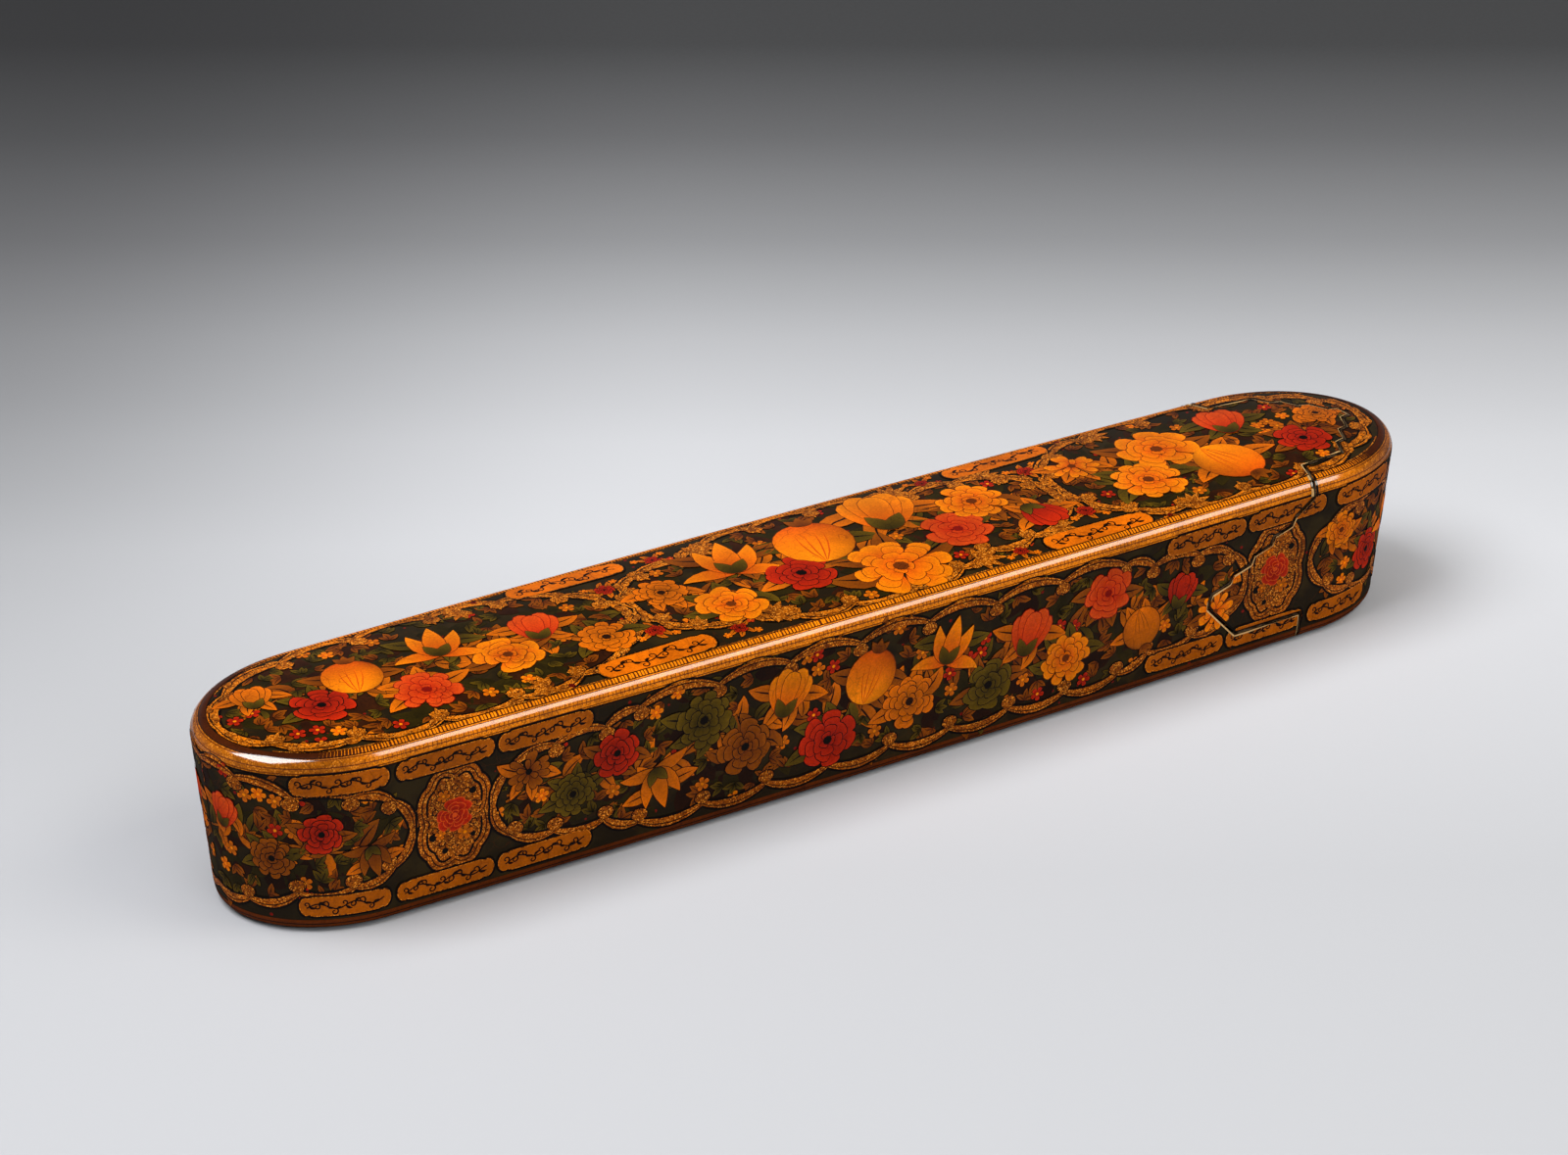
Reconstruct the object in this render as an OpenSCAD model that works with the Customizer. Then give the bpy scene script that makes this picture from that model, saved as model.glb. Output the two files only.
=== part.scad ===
// Lacquered papier-mache pen box: a round-ended case closed by a sliding drawer.
// The drawer's head is cut from the same shell as the case, along a stepped seam,
// and its tray carries an inkwell and a scribe's tools.
// Millimetres. The origin is the middle of the underside, +X points to the drawer's head, +Z is up.

/* [Case] */
// Overall length
case_length = 240; // [210:1:280]
// Width across the middle
case_width = 43; // [39:0.5:54]
// Height of the rim, below the crown of the roof
case_height = 33.5; // [31:0.5:44]
// How far each rounded end reaches along the length
end_depth = 25; // [21:0.5:32]
// How much wider each side is at the middle than where the ends begin
side_bow = 1; // [0:0.1:2]
// How far each side leans in from the rim to the foot
side_draft = 2.1; // [0.5:0.1:3]
// Rise of the roof's crown above the rim
crown_rise = 0.8; // [0.2:0.1:2]
// Radius of the rim's rounding
top_round = 2.8; // [1.5:0.1:4]
// Radius of the foot's rounding
bottom_round = 2.6; // [1.5:0.1:4]
// Thickness of the papier-mache shell
case_wall = 2.2; // [1.6:0.1:2.8]

/* [Seam] */
// Distance from the head's end to the straight stretches of the seam
head_depth = 30; // [26:0.5:36]
// Open width of the seam
seam_gap = 0.35; // [0.3:0.05:0.8]
// Depth of the seam's first step below the rim
seam_shoulder = 4.8; // [3.5:0.1:6]
// Steps down to the point of the head's cheek
seam_steps = 5; // [3:1:8]
// How far the head's cheek reaches past the straight stretches
cheek_reach = 22; // [12:0.5:30]
// Height of the cheek's point
cheek_height = 14; // [11:0.5:17]
// Height of the case's lip below the cheek
lip_height = 5.8; // [4.5:0.1:7]
// Strip of roof that the head keeps along each side
side_strip = 6; // [4.5:0.1:9]
// Strip of roof that the head keeps round its end
end_strip = 7; // [5:0.1:10]
// Steps on each half of the roof tongue's end
tongue_steps = 3; // [2:1:6]

/* [Drawer] */
// Clearance between the drawer's tray and the shell round it
slide_gap = 0.3; // [0.2:0.05:0.6]
// Thickness of the tray's walls
tray_wall = 1.5; // [1:0.1:2.2]
// Thickness of the tray's floor
tray_floor = 1.5; // [1:0.1:2.2]
// Space between the tray's rim and the roof
headroom = 1.8; // [1:0.1:4]
// Thickness of the partition beside the inkwell
partition_wall = 1.5; // [1:0.1:2.5]
// Space round a piece that is fitted into the tray
fit_gap = 0.15; // [0.1:0.05:0.3]

/* [Inkwell] */
// Length of the inkwell
ink_length = 34; // [26:0.5:42]
// Height of the inkwell without its lid
ink_height = 18.5; // [14:0.5:21]
// Thickness of the inkwell's walls and floor
ink_wall = 1; // [0.7:0.1:1.5]
// Space left between the inkwell and the tray's sides
ink_side_gap = 1.9; // [1.2:0.1:4]
// Radius of the inkwell's upright corners
ink_corner = 4; // [2:0.5:7]
// Thickness of the inkwell's lid
lid_plate = 1.2; // [0.8:0.1:2]
// Depth of the rim under the lid that closes the mouth
lid_rim = 1; // [0.6:0.1:2]
// Diameter of the lid's thumb knob
knob_diameter = 4; // [3:0.5:6]
// Height of the lid's thumb knob
knob_height = 1.4; // [0.8:0.1:2]
// Diameter of the hinge pin
pin_diameter = 1.2; // [0.8:0.1:1.6]
// Outer diameter of the hinge's knuckles
knuckle_diameter = 2.6; // [2.4:0.1:3.4]
// Width of the lid's knuckle
knuckle_width = 8; // [5:0.5:11]
// Running clearance of the hinge
hinge_gap = 0.15; // [0.1:0.05:0.3]
// Radial clearance of the hinge pin
pin_gap = 0.05; // [0.02:0.01:0.1]
// Depth of the ink-soaked silk in the inkwell
silk_depth = 9; // [5:0.5:12]

/* [Tools] */
// Diameter of a reed pen
pen_diameter = 5.8; // [4.5:0.1:7]
// Diameter of the hollow in a reed pen
pen_hollow = 3.2; // [2:0.1:3.8]
// Length of a pen's scooped nib
nib_length = 18; // [14:0.5:26]
// Length over which the nib is shaved narrow
nib_shave = 11; // [8:0.5:13]
// Width of the nib where it is cut across
nib_width = 2.2; // [1.2:0.1:3]
// Thickness of reed left at the nib
nib_plate = 1; // [0.6:0.1:1.2]
// Space between tools that lie side by side
tool_gap = 1.2; // [0.4:0.1:2.4]
// Space left at the ends of the pen bay
bay_end_gap = 4; // [2:0.5:8]
// Diameter of the knife's handle
knife_diameter = 6.4; // [5:0.1:7.5]
// Length of the knife's blade
blade_length = 46; // [30:0.5:60]
// Width of the knife's blade
blade_width = 5.6; // [4:0.1:6.5]
// Thickness of the knife's blade
blade_plate = 1; // [0.6:0.1:1.5]
// Length of the brass ferrule at the blade's root
ferrule_length = 8; // [5:0.5:12]
// Length of the brass cap on the handle's end
pommel_length = 5; // [4:0.5:8]
// Diameter of the tang inside the handle
tang_diameter = 2; // [1.4:0.1:2.6]
// Length of the tang behind the blade
tang_length = 24; // [14:0.5:34]
// Length of the bone rest on which nibs are cut
nib_rest_length = 78; // [50:1:90]
// Width of the nib rest
nib_rest_width = 12; // [8:0.5:15]
// Thickness of the nib rest
nib_rest_plate = 2.4; // [1.5:0.1:3.5]
// Diameter of the water spoon's stem
stem_diameter = 1.8; // [1.2:0.1:2.4]
// Diameter of the water spoon's bowl
bowl_diameter = 7.6; // [6:0.1:9]
// Depth of the water spoon's bowl
bowl_depth = 2.2; // [1.5:0.1:3]
// Thickness of the water spoon's bowl
bowl_wall = 0.5; // [0.4:0.1:0.8]

/* [Hidden] */
$fn = 48;

lacquer = [0.36, 0.19, 0.07];
lacquer_red = [0.45, 0.12, 0.06];
brass = [0.72, 0.53, 0.22];
silk_black = [0.06, 0.05, 0.06];
reed = [0.55, 0.33, 0.14];
bone = [0.87, 0.81, 0.68];
steel = [0.58, 0.58, 0.60];

// Facets of the shell's outline and roundings
side_facets = 8;
end_facets = 20;
round_facets = 3;
crown_facets = 3;
// Half-width of the flat left on the roof's crown
crown_flat = 3;
// How far a cutting shape runs past what it cuts
past = 8;

// Where the ends begin, and the half-width there
end_x = case_length / 2 - end_depth;
end_half = case_width / 2 - side_bow;
// Heights at which the sides meet the two roundings
shoulder_z = case_height - top_round;
foot_z = bottom_round;
roof_z = case_height - case_wall;

// Straight stretches of the seam, and the head's cheek
seam_x = case_length / 2 - head_depth;
seam_z = case_height - seam_shoulder;
cheek_x = seam_x - cheek_reach;
cheek_tip = 1.6;
cheek_slope = 0.95;
// Each step runs along the seam first and then drops
run_share = 0.86;
run_fall = 0.42;
// Tongue of the roof that reaches over the drawer
tongue_half = end_half - side_strip;
tongue_root = 2.2;
tongue_slant = 11;
tongue_straight = head_depth - end_strip - tongue_slant;
tongue_taper = 0.8;
tongue_tip = 1.5;
tongue_x = case_length / 2 - end_strip;

// The tray
tray_inset = case_wall + slide_gap;
tray_z = case_wall + slide_gap;
tray_top = roof_z - headroom;
well_inset = tray_inset + tray_wall;
well_z = tray_z + tray_floor;
well_half = end_half - well_inset - side_draft;
well_end = end_depth - well_inset - side_draft;

// The inkwell stands against the rounded end of the tray's well
ink_half = well_half - ink_side_gap;
ink_x1 = end_x + well_end * sqrt(1 - pow(ink_half / well_half, 2)) - fit_gap;
ink_x0 = ink_x1 - ink_length;
ink_top = well_z + ink_height;
hinge_x = ink_x0 - knuckle_diameter / 2 - hinge_gap;
hinge_z = ink_top;
hinge_half = ink_half - ink_corner;
lid_z = ink_top + hinge_gap;
knob_x = ink_x1 - knob_diameter;

// The partition, and the pen bay on its other side
partition_x1 = hinge_x - knuckle_diameter / 2 - hinge_gap;
partition_x0 = partition_x1 - partition_wall;
// Low enough for the lid to lean back over it
partition_top = hinge_z - knuckle_diameter / 2 - hinge_gap;
bay_x0 = -end_x - well_end + bay_end_gap;
bay_x1 = partition_x0 - bay_end_gap;
bay_length = bay_x1 - bay_x0;

// Two pens and the knife lie side by side on the tray's floor
row_width = 2 * pen_diameter + knife_diameter + 2 * tool_gap;
row_z = well_z + fit_gap;
row_top = row_z + max(pen_diameter, knife_diameter);
pen_1_y = pen_diameter / 2 - row_width / 2;
pen_2_y = pen_1_y + pen_diameter + tool_gap;
knife_y = row_width / 2 - knife_diameter / 2;
knife_z = row_z + knife_diameter / 2;
pen_z = row_z + pen_diameter / 2;
// A third, much recut pen lies in the valley between them
valley_reach = pen_diameter + fit_gap;
valley_z = pen_z + sqrt(pow(valley_reach, 2) - pow((pen_diameter + tool_gap) / 2, 2));
upper_length = bay_length - nib_rest_length - 2 * bay_end_gap;
upper_z = row_top + fit_gap;
// The knife, from its blade's point to its pommel
ferrule_x = bay_x0 + blade_length;
handle_x = ferrule_x + ferrule_length;
pommel_x = bay_x1 - pommel_length;
// The spoon lies on its bowl and on the knob that ends its stem
bowl_z = upper_z + bowl_depth;
stem_sink = 0.4;
stem_knob = bowl_depth - stem_sink;
spoon_x0 = bay_x1 - upper_length;

// Half-width of the shell's plan at x, with a share of the sides' bow
function plan_half(x, bow) = end_half + bow * (1 - pow(x / end_x, 2));

// How far the sides have leaned in at height z
function lean(z) = side_draft * min(1, max(0, (shoulder_z - z) / (shoulder_z - foot_z)));

// A straight side needs no points between its ends
function facets_of(bow) = bow > 0 ? side_facets : 1;

// Plan outline moved in by inset: one side and one rounded end, then the same turned half round
function half_outline(inset, bow) = concat(
    [for (i = [0 : facets_of(bow) - 1])
        let (x = end_x * (2 * i / facets_of(bow) - 1))
        [x, inset - plan_half(x, bow)]],
    [for (i = [0 : end_facets - 1])
        let (a = 180 * i / end_facets - 90)
        [end_x + (end_depth - inset) * cos(a), (end_half - inset) * sin(a)]]);

function outline(inset, bow) = concat(
    half_outline(inset, bow),
    [for (p = half_outline(inset, bow)) -p]);

// Rings of the shell's outside as [inset, height]: foot, rim and crown
outer_rings = concat(
    [for (i = [0 : round_facets])
        let (a = 90 * i / round_facets)
        [side_draft + bottom_round * (1 - sin(a)), bottom_round * (1 - cos(a))]],
    [for (i = [0 : round_facets])
        let (a = 90 * i / round_facets)
        [top_round * (1 - cos(a)), shoulder_z + top_round * sin(a)]],
    [for (i = [1 : crown_facets])
        let (s = i / crown_facets)
        [top_round + s * (end_half - crown_flat - top_round),
         case_height + crown_rise * (1 - pow(1 - s, 2))]]);

// Rings of a straight wall that keeps a steady distance from the shell's outside
function wall_rings(inset, z0, z1) = [
    [inset + lean(z0), z0],
    [inset + lean(z1), z1]];

// Solid through a stack of rings, closed flat at both ends
module loft(rings, bow) {
    n = 2 * (facets_of(bow) + end_facets);
    top = n * (len(rings) - 1);
    points = [for (r = rings) for (p = outline(r[0], bow)) [p[0], p[1], r[1]]];
    walls = [for (i = [0 : len(rings) - 2]) for (j = [0 : n - 1])
        let (a = i * n + j, b = i * n + (j + 1) % n)
        each [[a, a + n, b + n], [a, b + n, b]]];
    foot = [for (j = [0 : n - 1]) j];
    roof = [for (j = [0 : n - 1]) top + n - 1 - j];
    polyhedron(points, concat(walls, [foot, roof]));
}

// Hollow of the shell from floor height z up to the roof
module hollow(z) {
    loft(wall_rings(case_wall, z, roof_z), side_bow);
}

// Side view of the head: everything on its side of the seam
module head_side() {
    steps = [for (k = [0 : seam_steps - 1])
        let (dx = -cheek_reach / seam_steps,
             dz = (cheek_height + cheek_tip / 2 - seam_z) / seam_steps,
             x = seam_x + k * dx,
             z = seam_z + k * dz)
        each [[x, z], [x + run_share * dx, z + run_fall * dz]]];
    under_x = cheek_x + (cheek_height - cheek_tip / 2 - lip_height) * cheek_slope;
    far_x = case_length / 2 + past;
    polygon(concat(
        [[far_x, -past], [far_x, case_height + past], [seam_x, case_height + past]],
        steps,
        [[cheek_x, cheek_height + cheek_tip / 2],
         [cheek_x, cheek_height - cheek_tip / 2],
         [under_x, lip_height],
         [seam_x, lip_height],
         [seam_x, -past]]));
}

// Plan of the tongue that the case's roof lays over the drawer
module roof_tongue() {
    start = [seam_x + tongue_straight, tongue_half - tongue_taper];
    end = [tongue_x, tongue_tip];
    side = concat(
        [[seam_x - past, case_width],
         [seam_x - tongue_root, case_width],
         [seam_x, case_width / 2],
         [seam_x + tongue_root, tongue_half]],
        [for (k = [0 : tongue_steps - 1])
            let (p = start + (end - start) * k / tongue_steps,
                 d = (end - start) / tongue_steps)
            each [p, p + [d[0] * run_fall, d[1] * run_share]]],
        [end]);
    count = len(side);
    polygon(concat(side, [for (i = [0 : count - 1]) [side[count - 1 - i][0], -side[count - 1 - i][1]]]));
}

// The head's side of the shell. Both outlines draw back by gap from the seam.
module head_zone(gap) {
    tall = case_height + past;
    difference() {
        rotate([90, 0, 0])
            linear_extrude(2 * case_width, center = true)
                offset(delta = -gap) head_side();
        translate([0, 0, seam_z])
            linear_extrude(tall)
                offset(delta = gap) roof_tongue();
    }
}

// Rectangle from x0 to x1 with its four corners rounded
module rounded_plan(x0, x1, half, corner) {
    translate([x0, corner - half]) square([x1 - x0, 2 * (half - corner)]);
    translate([x0 + corner, -half]) square([x1 - x0 - 2 * corner, 2 * half]);
    for (x = [x0 + corner, x1 - corner], y = [corner - half, half - corner])
        translate([x, y]) circle(corner);
}

// Rod along X from x0 to x1
module rod(x0, x1, y, z, diameter) {
    translate([x0, y, z]) rotate([0, 90, 0]) cylinder(d = diameter, h = x1 - x0);
}

// Rod along Y, centred on the hinge's axis
module hinge_rod(y0, y1, diameter) {
    translate([hinge_x, y1, hinge_z]) rotate([90, 0, 0]) cylinder(d = diameter, h = y1 - y0);
}

// Reed pen along X with its nib at x0: the end is scooped out, shaved narrow and cut across
module reed_pen(x0, x1, y, z) {
    rise = pen_diameter - nib_plate;
    scoop = (pow(nib_length, 2) + pow(rise, 2)) / (2 * rise);
    tip = nib_width / 2;
    color(reed) difference() {
        rod(x0, x1, y, z, pen_diameter);
        rod(x0 - past, x0 + 2 * nib_length, y, z, pen_hollow);
        translate([x0, y + pen_diameter, z + pen_diameter / 2 - rise + scoop])
            rotate([90, 0, 0]) cylinder(r = scoop, h = 2 * pen_diameter);
        for (side = [-1, 1])
            translate([x0, y, z])
                linear_extrude(2 * pen_diameter, center = true)
                    polygon([[-past, side * tip],
                             [0, side * tip],
                             [nib_shave, side * pen_diameter],
                             [-past, side * pen_diameter]]);
    }
}

module outer_case() {
    color(lacquer) difference() {
        loft(outer_rings, side_bow);
        hollow(case_wall);
        head_zone(0);
    }
}

module drawer_head() {
    color(lacquer) intersection() {
        difference() {
            loft(outer_rings, side_bow);
            hollow(tray_z);
        }
        head_zone(seam_gap);
    }
}

module drawer_tray() {
    color(lacquer_red) difference() {
        loft(wall_rings(tray_inset, tray_z, tray_top), 0);
        loft(concat(wall_rings(well_inset, well_z, tray_top),
                    [[well_inset + lean(tray_top), tray_top + past]]), 0);
    }
}

// Upright wall across the tray between the inkwell and the pens
module tray_partition() {
    foot = end_half - well_inset - lean(well_z) - fit_gap;
    head = end_half - well_inset - lean(partition_top) - fit_gap;
    color(lacquer_red)
        translate([partition_x0, 0, 0]) rotate([90, 0, 90])
            linear_extrude(partition_wall)
                polygon([[-foot, well_z], [foot, well_z], [head, partition_top], [-head, partition_top]]);
}

module inkwell_body() {
    ear_y = knuckle_width / 2 + 2 * hinge_gap;
    color(brass) difference() {
        union() {
            translate([0, 0, well_z]) linear_extrude(ink_height)
                rounded_plan(ink_x0, ink_x1, ink_half, ink_corner);
            for (y = [[-hinge_half, -ear_y], [ear_y, hinge_half]]) {
                hinge_rod(y[0], y[1], knuckle_diameter);
                translate([hinge_x, y[0], hinge_z - knuckle_diameter / 2])
                    cube([ink_x0 + ink_wall - hinge_x, y[1] - y[0], knuckle_diameter / 2]);
            }
        }
        translate([0, 0, well_z + ink_wall]) linear_extrude(ink_height)
            rounded_plan(ink_x0 + ink_wall, ink_x1 - ink_wall, ink_half - ink_wall, ink_corner - ink_wall);
        hinge_rod(-ink_half, ink_half, pin_diameter + 2 * pin_gap);
    }
}

module inkwell_lid() {
    rim = ink_wall + 2 * hinge_gap;
    color(brass) difference() {
        union() {
            translate([0, 0, lid_z]) linear_extrude(lid_plate)
                rounded_plan(ink_x0, ink_x1, ink_half, ink_corner);
            translate([0, 0, lid_z - lid_rim]) linear_extrude(lid_rim)
                rounded_plan(ink_x0 + rim, ink_x1 - rim, ink_half - rim, ink_corner - rim);
            hinge_rod(-knuckle_width / 2, knuckle_width / 2, knuckle_diameter);
            translate([hinge_x, -knuckle_width / 2, lid_z])
                cube([ink_x0 + ink_wall - hinge_x, knuckle_width, knuckle_diameter / 2 - hinge_gap]);
            translate([knob_x, 0, lid_z + lid_plate]) cylinder(d = knob_diameter, h = knob_height);
        }
        hinge_rod(-ink_half, ink_half, pin_diameter + 2 * pin_gap);
    }
}

module inkwell_hinge_pin() {
    color(brass) hinge_rod(-hinge_half, hinge_half, pin_diameter);
}

// Pad of raw silk that holds the ink, crowned towards the mouth
module inkwell_silk_wad() {
    inset = ink_wall + 2 * fit_gap;
    shoulder = 2.4;
    color(silk_black) hull() {
        translate([0, 0, well_z + ink_wall + fit_gap]) linear_extrude(silk_depth - shoulder)
            rounded_plan(ink_x0 + inset, ink_x1 - inset, ink_half - inset, ink_corner - ink_wall, $fn = 32);
        translate([0, 0, well_z + ink_wall + fit_gap]) linear_extrude(silk_depth)
            rounded_plan(ink_x0 + inset + shoulder, ink_x1 - inset - shoulder,
                         ink_half - inset - shoulder, ink_corner - ink_wall, $fn = 32);
    }
}

module reed_pen_1() {
    reed_pen(bay_x0, bay_x1, pen_1_y, pen_z);
}

module reed_pen_2() {
    reed_pen(bay_x0, bay_x1, pen_2_y, pen_z);
}

module reed_pen_3() {
    reed_pen(bay_x1 - upper_length, bay_x1, (pen_1_y + pen_2_y) / 2, valley_z);
}

// Straight blade with a slanting point, and the tang that holds it
module knife_blade() {
    half = blade_width / 2;
    color(steel) {
        translate([0, knife_y, knife_z - blade_plate / 2]) linear_extrude(blade_plate)
            polygon([[bay_x0, -half], [ferrule_x, -half], [ferrule_x, half], [bay_x0 + 2 * blade_width, half]]);
        rod(ferrule_x - blade_plate, ferrule_x + tang_length, knife_y, knife_z, tang_diameter);
    }
}

module knife_ferrule() {
    color(brass) difference() {
        rod(ferrule_x, handle_x, knife_y, knife_z, knife_diameter);
        rod(ferrule_x - past, handle_x + past, knife_y, knife_z, tang_diameter + 2 * pin_gap);
    }
}

module knife_handle() {
    color(bone) difference() {
        rod(handle_x, pommel_x, knife_y, knife_z, knife_diameter, $fn = 8);
        rod(handle_x - past, ferrule_x + tang_length + pin_gap, knife_y, knife_z,
            tang_diameter + 2 * pin_gap);
    }
}

module knife_pommel() {
    dome = knife_diameter / 2;
    color(brass) intersection() {
        rod(pommel_x, bay_x1, knife_y, knife_z, knife_diameter);
        union() {
            rod(pommel_x - past, bay_x1 - dome, knife_y, knife_z, knife_diameter);
            translate([bay_x1 - dome, knife_y, knife_z]) sphere(dome);
        }
    }
}

// Flat bone rest with a groove across it, in which a nib is laid to be cut
module nib_rest() {
    half = nib_rest_width / 2;
    groove = pen_diameter / 2;
    groove_depth = nib_rest_plate / 3;
    color(bone) difference() {
        translate([0, 0, upper_z]) linear_extrude(nib_rest_plate)
            rounded_plan(bay_x0, bay_x0 + nib_rest_length, half, half / 2);
        translate([bay_x0 + nib_rest_length / 2, nib_rest_width, upper_z + nib_rest_plate + groove - groove_depth])
            rotate([90, 0, 0]) cylinder(r = groove, h = 2 * nib_rest_width);
    }
}

// Small brass spoon for wetting the ink
module water_spoon() {
    radius = bowl_diameter / 2;
    ball = (pow(radius, 2) + pow(bowl_depth, 2)) / (2 * bowl_depth);
    bowl_x = spoon_x0 + radius;
    knob_end = bay_x1 - stem_knob;
    color(brass) {
        translate([bowl_x, knife_y, bowl_z - bowl_depth + ball]) rotate_extrude()
            intersection() {
                difference() {
                    circle(ball);
                    circle(ball - bowl_wall);
                }
                translate([0, -ball]) square([radius, bowl_depth]);
            }
        rod(bowl_x + radius - bowl_wall, knob_end, knife_y, bowl_z - stem_sink, stem_diameter);
        translate([knob_end, knife_y, bowl_z - stem_sink]) sphere(stem_knob);
    }
}

outer_case();
drawer_head();
drawer_tray();
tray_partition();
inkwell_body();
inkwell_lid();
inkwell_hinge_pin();
inkwell_silk_wad();
reed_pen_1();
reed_pen_2();
reed_pen_3();
knife_blade();
knife_ferrule();
knife_handle();
knife_pommel();
nib_rest();
water_spoon();
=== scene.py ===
"""Lacquered papier-mache pen box with a drawer and a scribe's tools, painted with flowers in gold frames.

Lengths are millimetres until a mesh is made, which is in metres.
"""
import logging
import math
from dataclasses import dataclass, replace
from enum import Enum
from functools import cache

import bmesh
import bpy
import numpy as np
from mathutils import Matrix, Vector


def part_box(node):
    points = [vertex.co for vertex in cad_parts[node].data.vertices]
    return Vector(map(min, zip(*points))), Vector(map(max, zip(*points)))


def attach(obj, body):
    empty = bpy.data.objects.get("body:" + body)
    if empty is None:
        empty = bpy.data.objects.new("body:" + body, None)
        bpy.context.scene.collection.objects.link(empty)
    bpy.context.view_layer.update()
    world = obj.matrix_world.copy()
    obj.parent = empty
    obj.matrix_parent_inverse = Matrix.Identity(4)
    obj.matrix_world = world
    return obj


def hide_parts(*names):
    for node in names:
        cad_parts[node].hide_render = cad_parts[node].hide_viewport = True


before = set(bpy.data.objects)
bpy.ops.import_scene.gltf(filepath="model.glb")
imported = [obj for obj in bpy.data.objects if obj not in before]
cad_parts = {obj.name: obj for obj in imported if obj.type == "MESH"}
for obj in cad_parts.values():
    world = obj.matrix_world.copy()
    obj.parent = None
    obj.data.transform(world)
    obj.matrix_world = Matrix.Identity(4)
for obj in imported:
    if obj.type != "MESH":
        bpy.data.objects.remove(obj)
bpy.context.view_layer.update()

log = logging.getLogger("pen_box")
Array = np.ndarray
Material = bpy.types.Material
Piece = bpy.types.Object
Socket = bpy.types.NodeSocket
Pair = tuple[Array, Array]
Values = Array | float
Spot = tuple[float, float]
Triple = tuple[float, float, float]
MM = 0.001
TURN = 2 * math.pi
QUARTER = math.pi / 2


class Pigment(Enum):
    """Paints and metals of the decoration, each as a 0xRRGGBB screen colour."""

    SOOT = 0x130B06
    UMBER = 0x2A170A
    BROWN = 0x66320C
    OCHRE = 0x9C560A
    TAN = 0xB4620C
    SAFFRON = 0xEC7A06
    HONEY = 0xFF960A
    ORANGE = 0xD85608
    VERMILION = 0xC8300E
    CORAL = 0xDE5620
    CRIMSON = 0x84180E
    OLIVE = 0x6B5816
    MOSS = 0x352E0E
    GOLD = 0xF0880E
    # Darker gold for the walls: painted shade.
    SHADED_GOLD = 0xB4600E
    PALE = 0xDDBE96

    def linear(self) -> Array:
        """Linear colour: each channel as a share of 255, raised to the power 2.2."""
        channels = np.array([self.value >> 16, self.value >> 8, self.value]) & 255
        return (channels / 255.0) ** 2.2


(SOOT, UMBER, BROWN, OCHRE, TAN, SAFFRON, HONEY, ORANGE, VERMILION, CORAL, CRIMSON, OLIVE, MOSS, GOLD,
 SHADED_GOLD, PALE) = Pigment


@dataclass(frozen=True)
class Shade:
    """Colours of a leaf or petal: at its root, at its tip, and of its thin edge if it has one."""

    inner: Pigment | Array
    outer: Pigment | Array
    line: Pigment | None = None

    def ends(self) -> list[Array]:
        """Linear colours at the root and at the tip."""
        return [c.linear() if isinstance(c, Pigment) else c for c in (self.inner, self.outer)]


RED = Shade(CRIMSON, VERMILION, SOOT)
PINK = Shade(VERMILION, CORAL, CRIMSON)
SCARLET = Shade(CRIMSON, VERMILION, CORAL)
AMBER = Shade(ORANGE, HONEY, BROWN)
GOLDEN = Shade(OCHRE, SAFFRON, UMBER)
TAWNY = Shade(BROWN, OCHRE, SOOT)
GREEN = Shade(MOSS, OLIVE, SOOT)


class Face(Enum):
    """Painted faces of the shell."""

    ROOF = "roof"
    NEAR = "near"
    FAR = "far"


class Form(Enum):
    """Outlines of a painted blade."""

    LEAF = "leaf"
    PETAL = "petal"
    ROUND = "round"

    def half_width(self, along: Array) -> Array:
        """Half-width of the blade at a share of its length, with 1 as the widest.

        Args:
            along: shares of the length from 0 at the root to 1 at the tip.
        Returns:
            a leaf's pointed arch, a petal's broad head, or half an ellipse.
        """
        if self is Form.LEAF:
            return np.sin(math.pi * along**0.8) ** 0.9
        if self is Form.PETAL:
            return 1.08 * along**0.6 * np.sqrt(np.clip(1.0 - along**5, 0.0, 1.0))
        return np.sqrt(np.clip(1.0 - (2.0 * along - 1.0) ** 2, 0.0, 1.0))


def rays(angle: Values) -> Array:
    """Unit vectors at angles, along a new last axis."""
    return np.stack([np.cos(angle), np.sin(angle)], -1)


def angles(run: Array) -> Array:
    """Angles of vectors."""
    return np.arctan2(run[..., 1], run[..., 0])


def unit(run: Array) -> Array:
    """Vectors brought to length 1."""
    return run / np.maximum(np.linalg.norm(run, axis=-1), 1e-9)[..., None]


def left_of(run: Array) -> Array:
    """Vectors turned a quarter turn to the left."""
    return np.stack([-run[..., 1], run[..., 0]], -1)


def level(run: Array, height: float) -> Array:
    """Points of a level line: the run along it, at one height."""
    return np.stack([run, 0.0 * run + height], 1)


def alternate(count: int) -> Array:
    """1 and -1 in turns."""
    return np.where(np.arange(count) % 2 == 0, 1.0, -1.0)


def grid_triangles(rows: int, columns: int, wrap: bool = False) -> Array:
    """Two triangles for each cell of a grid of corners that are counted row by row.

    Args:
        rows, columns: corners each way.
        wrap: True joins the last column to the first.
    Returns:
        corner numbers, three to a triangle.
    """
    r, c = np.meshgrid(np.arange(rows - 1), np.arange(columns if wrap else columns - 1), indexing="ij")
    a = (r * columns + c).ravel()
    b = (r * columns + (c + 1) % columns).ravel()
    return np.concatenate([np.stack([a, b, b + columns], 1), np.stack([a, b + columns, a + columns], 1)])


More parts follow.
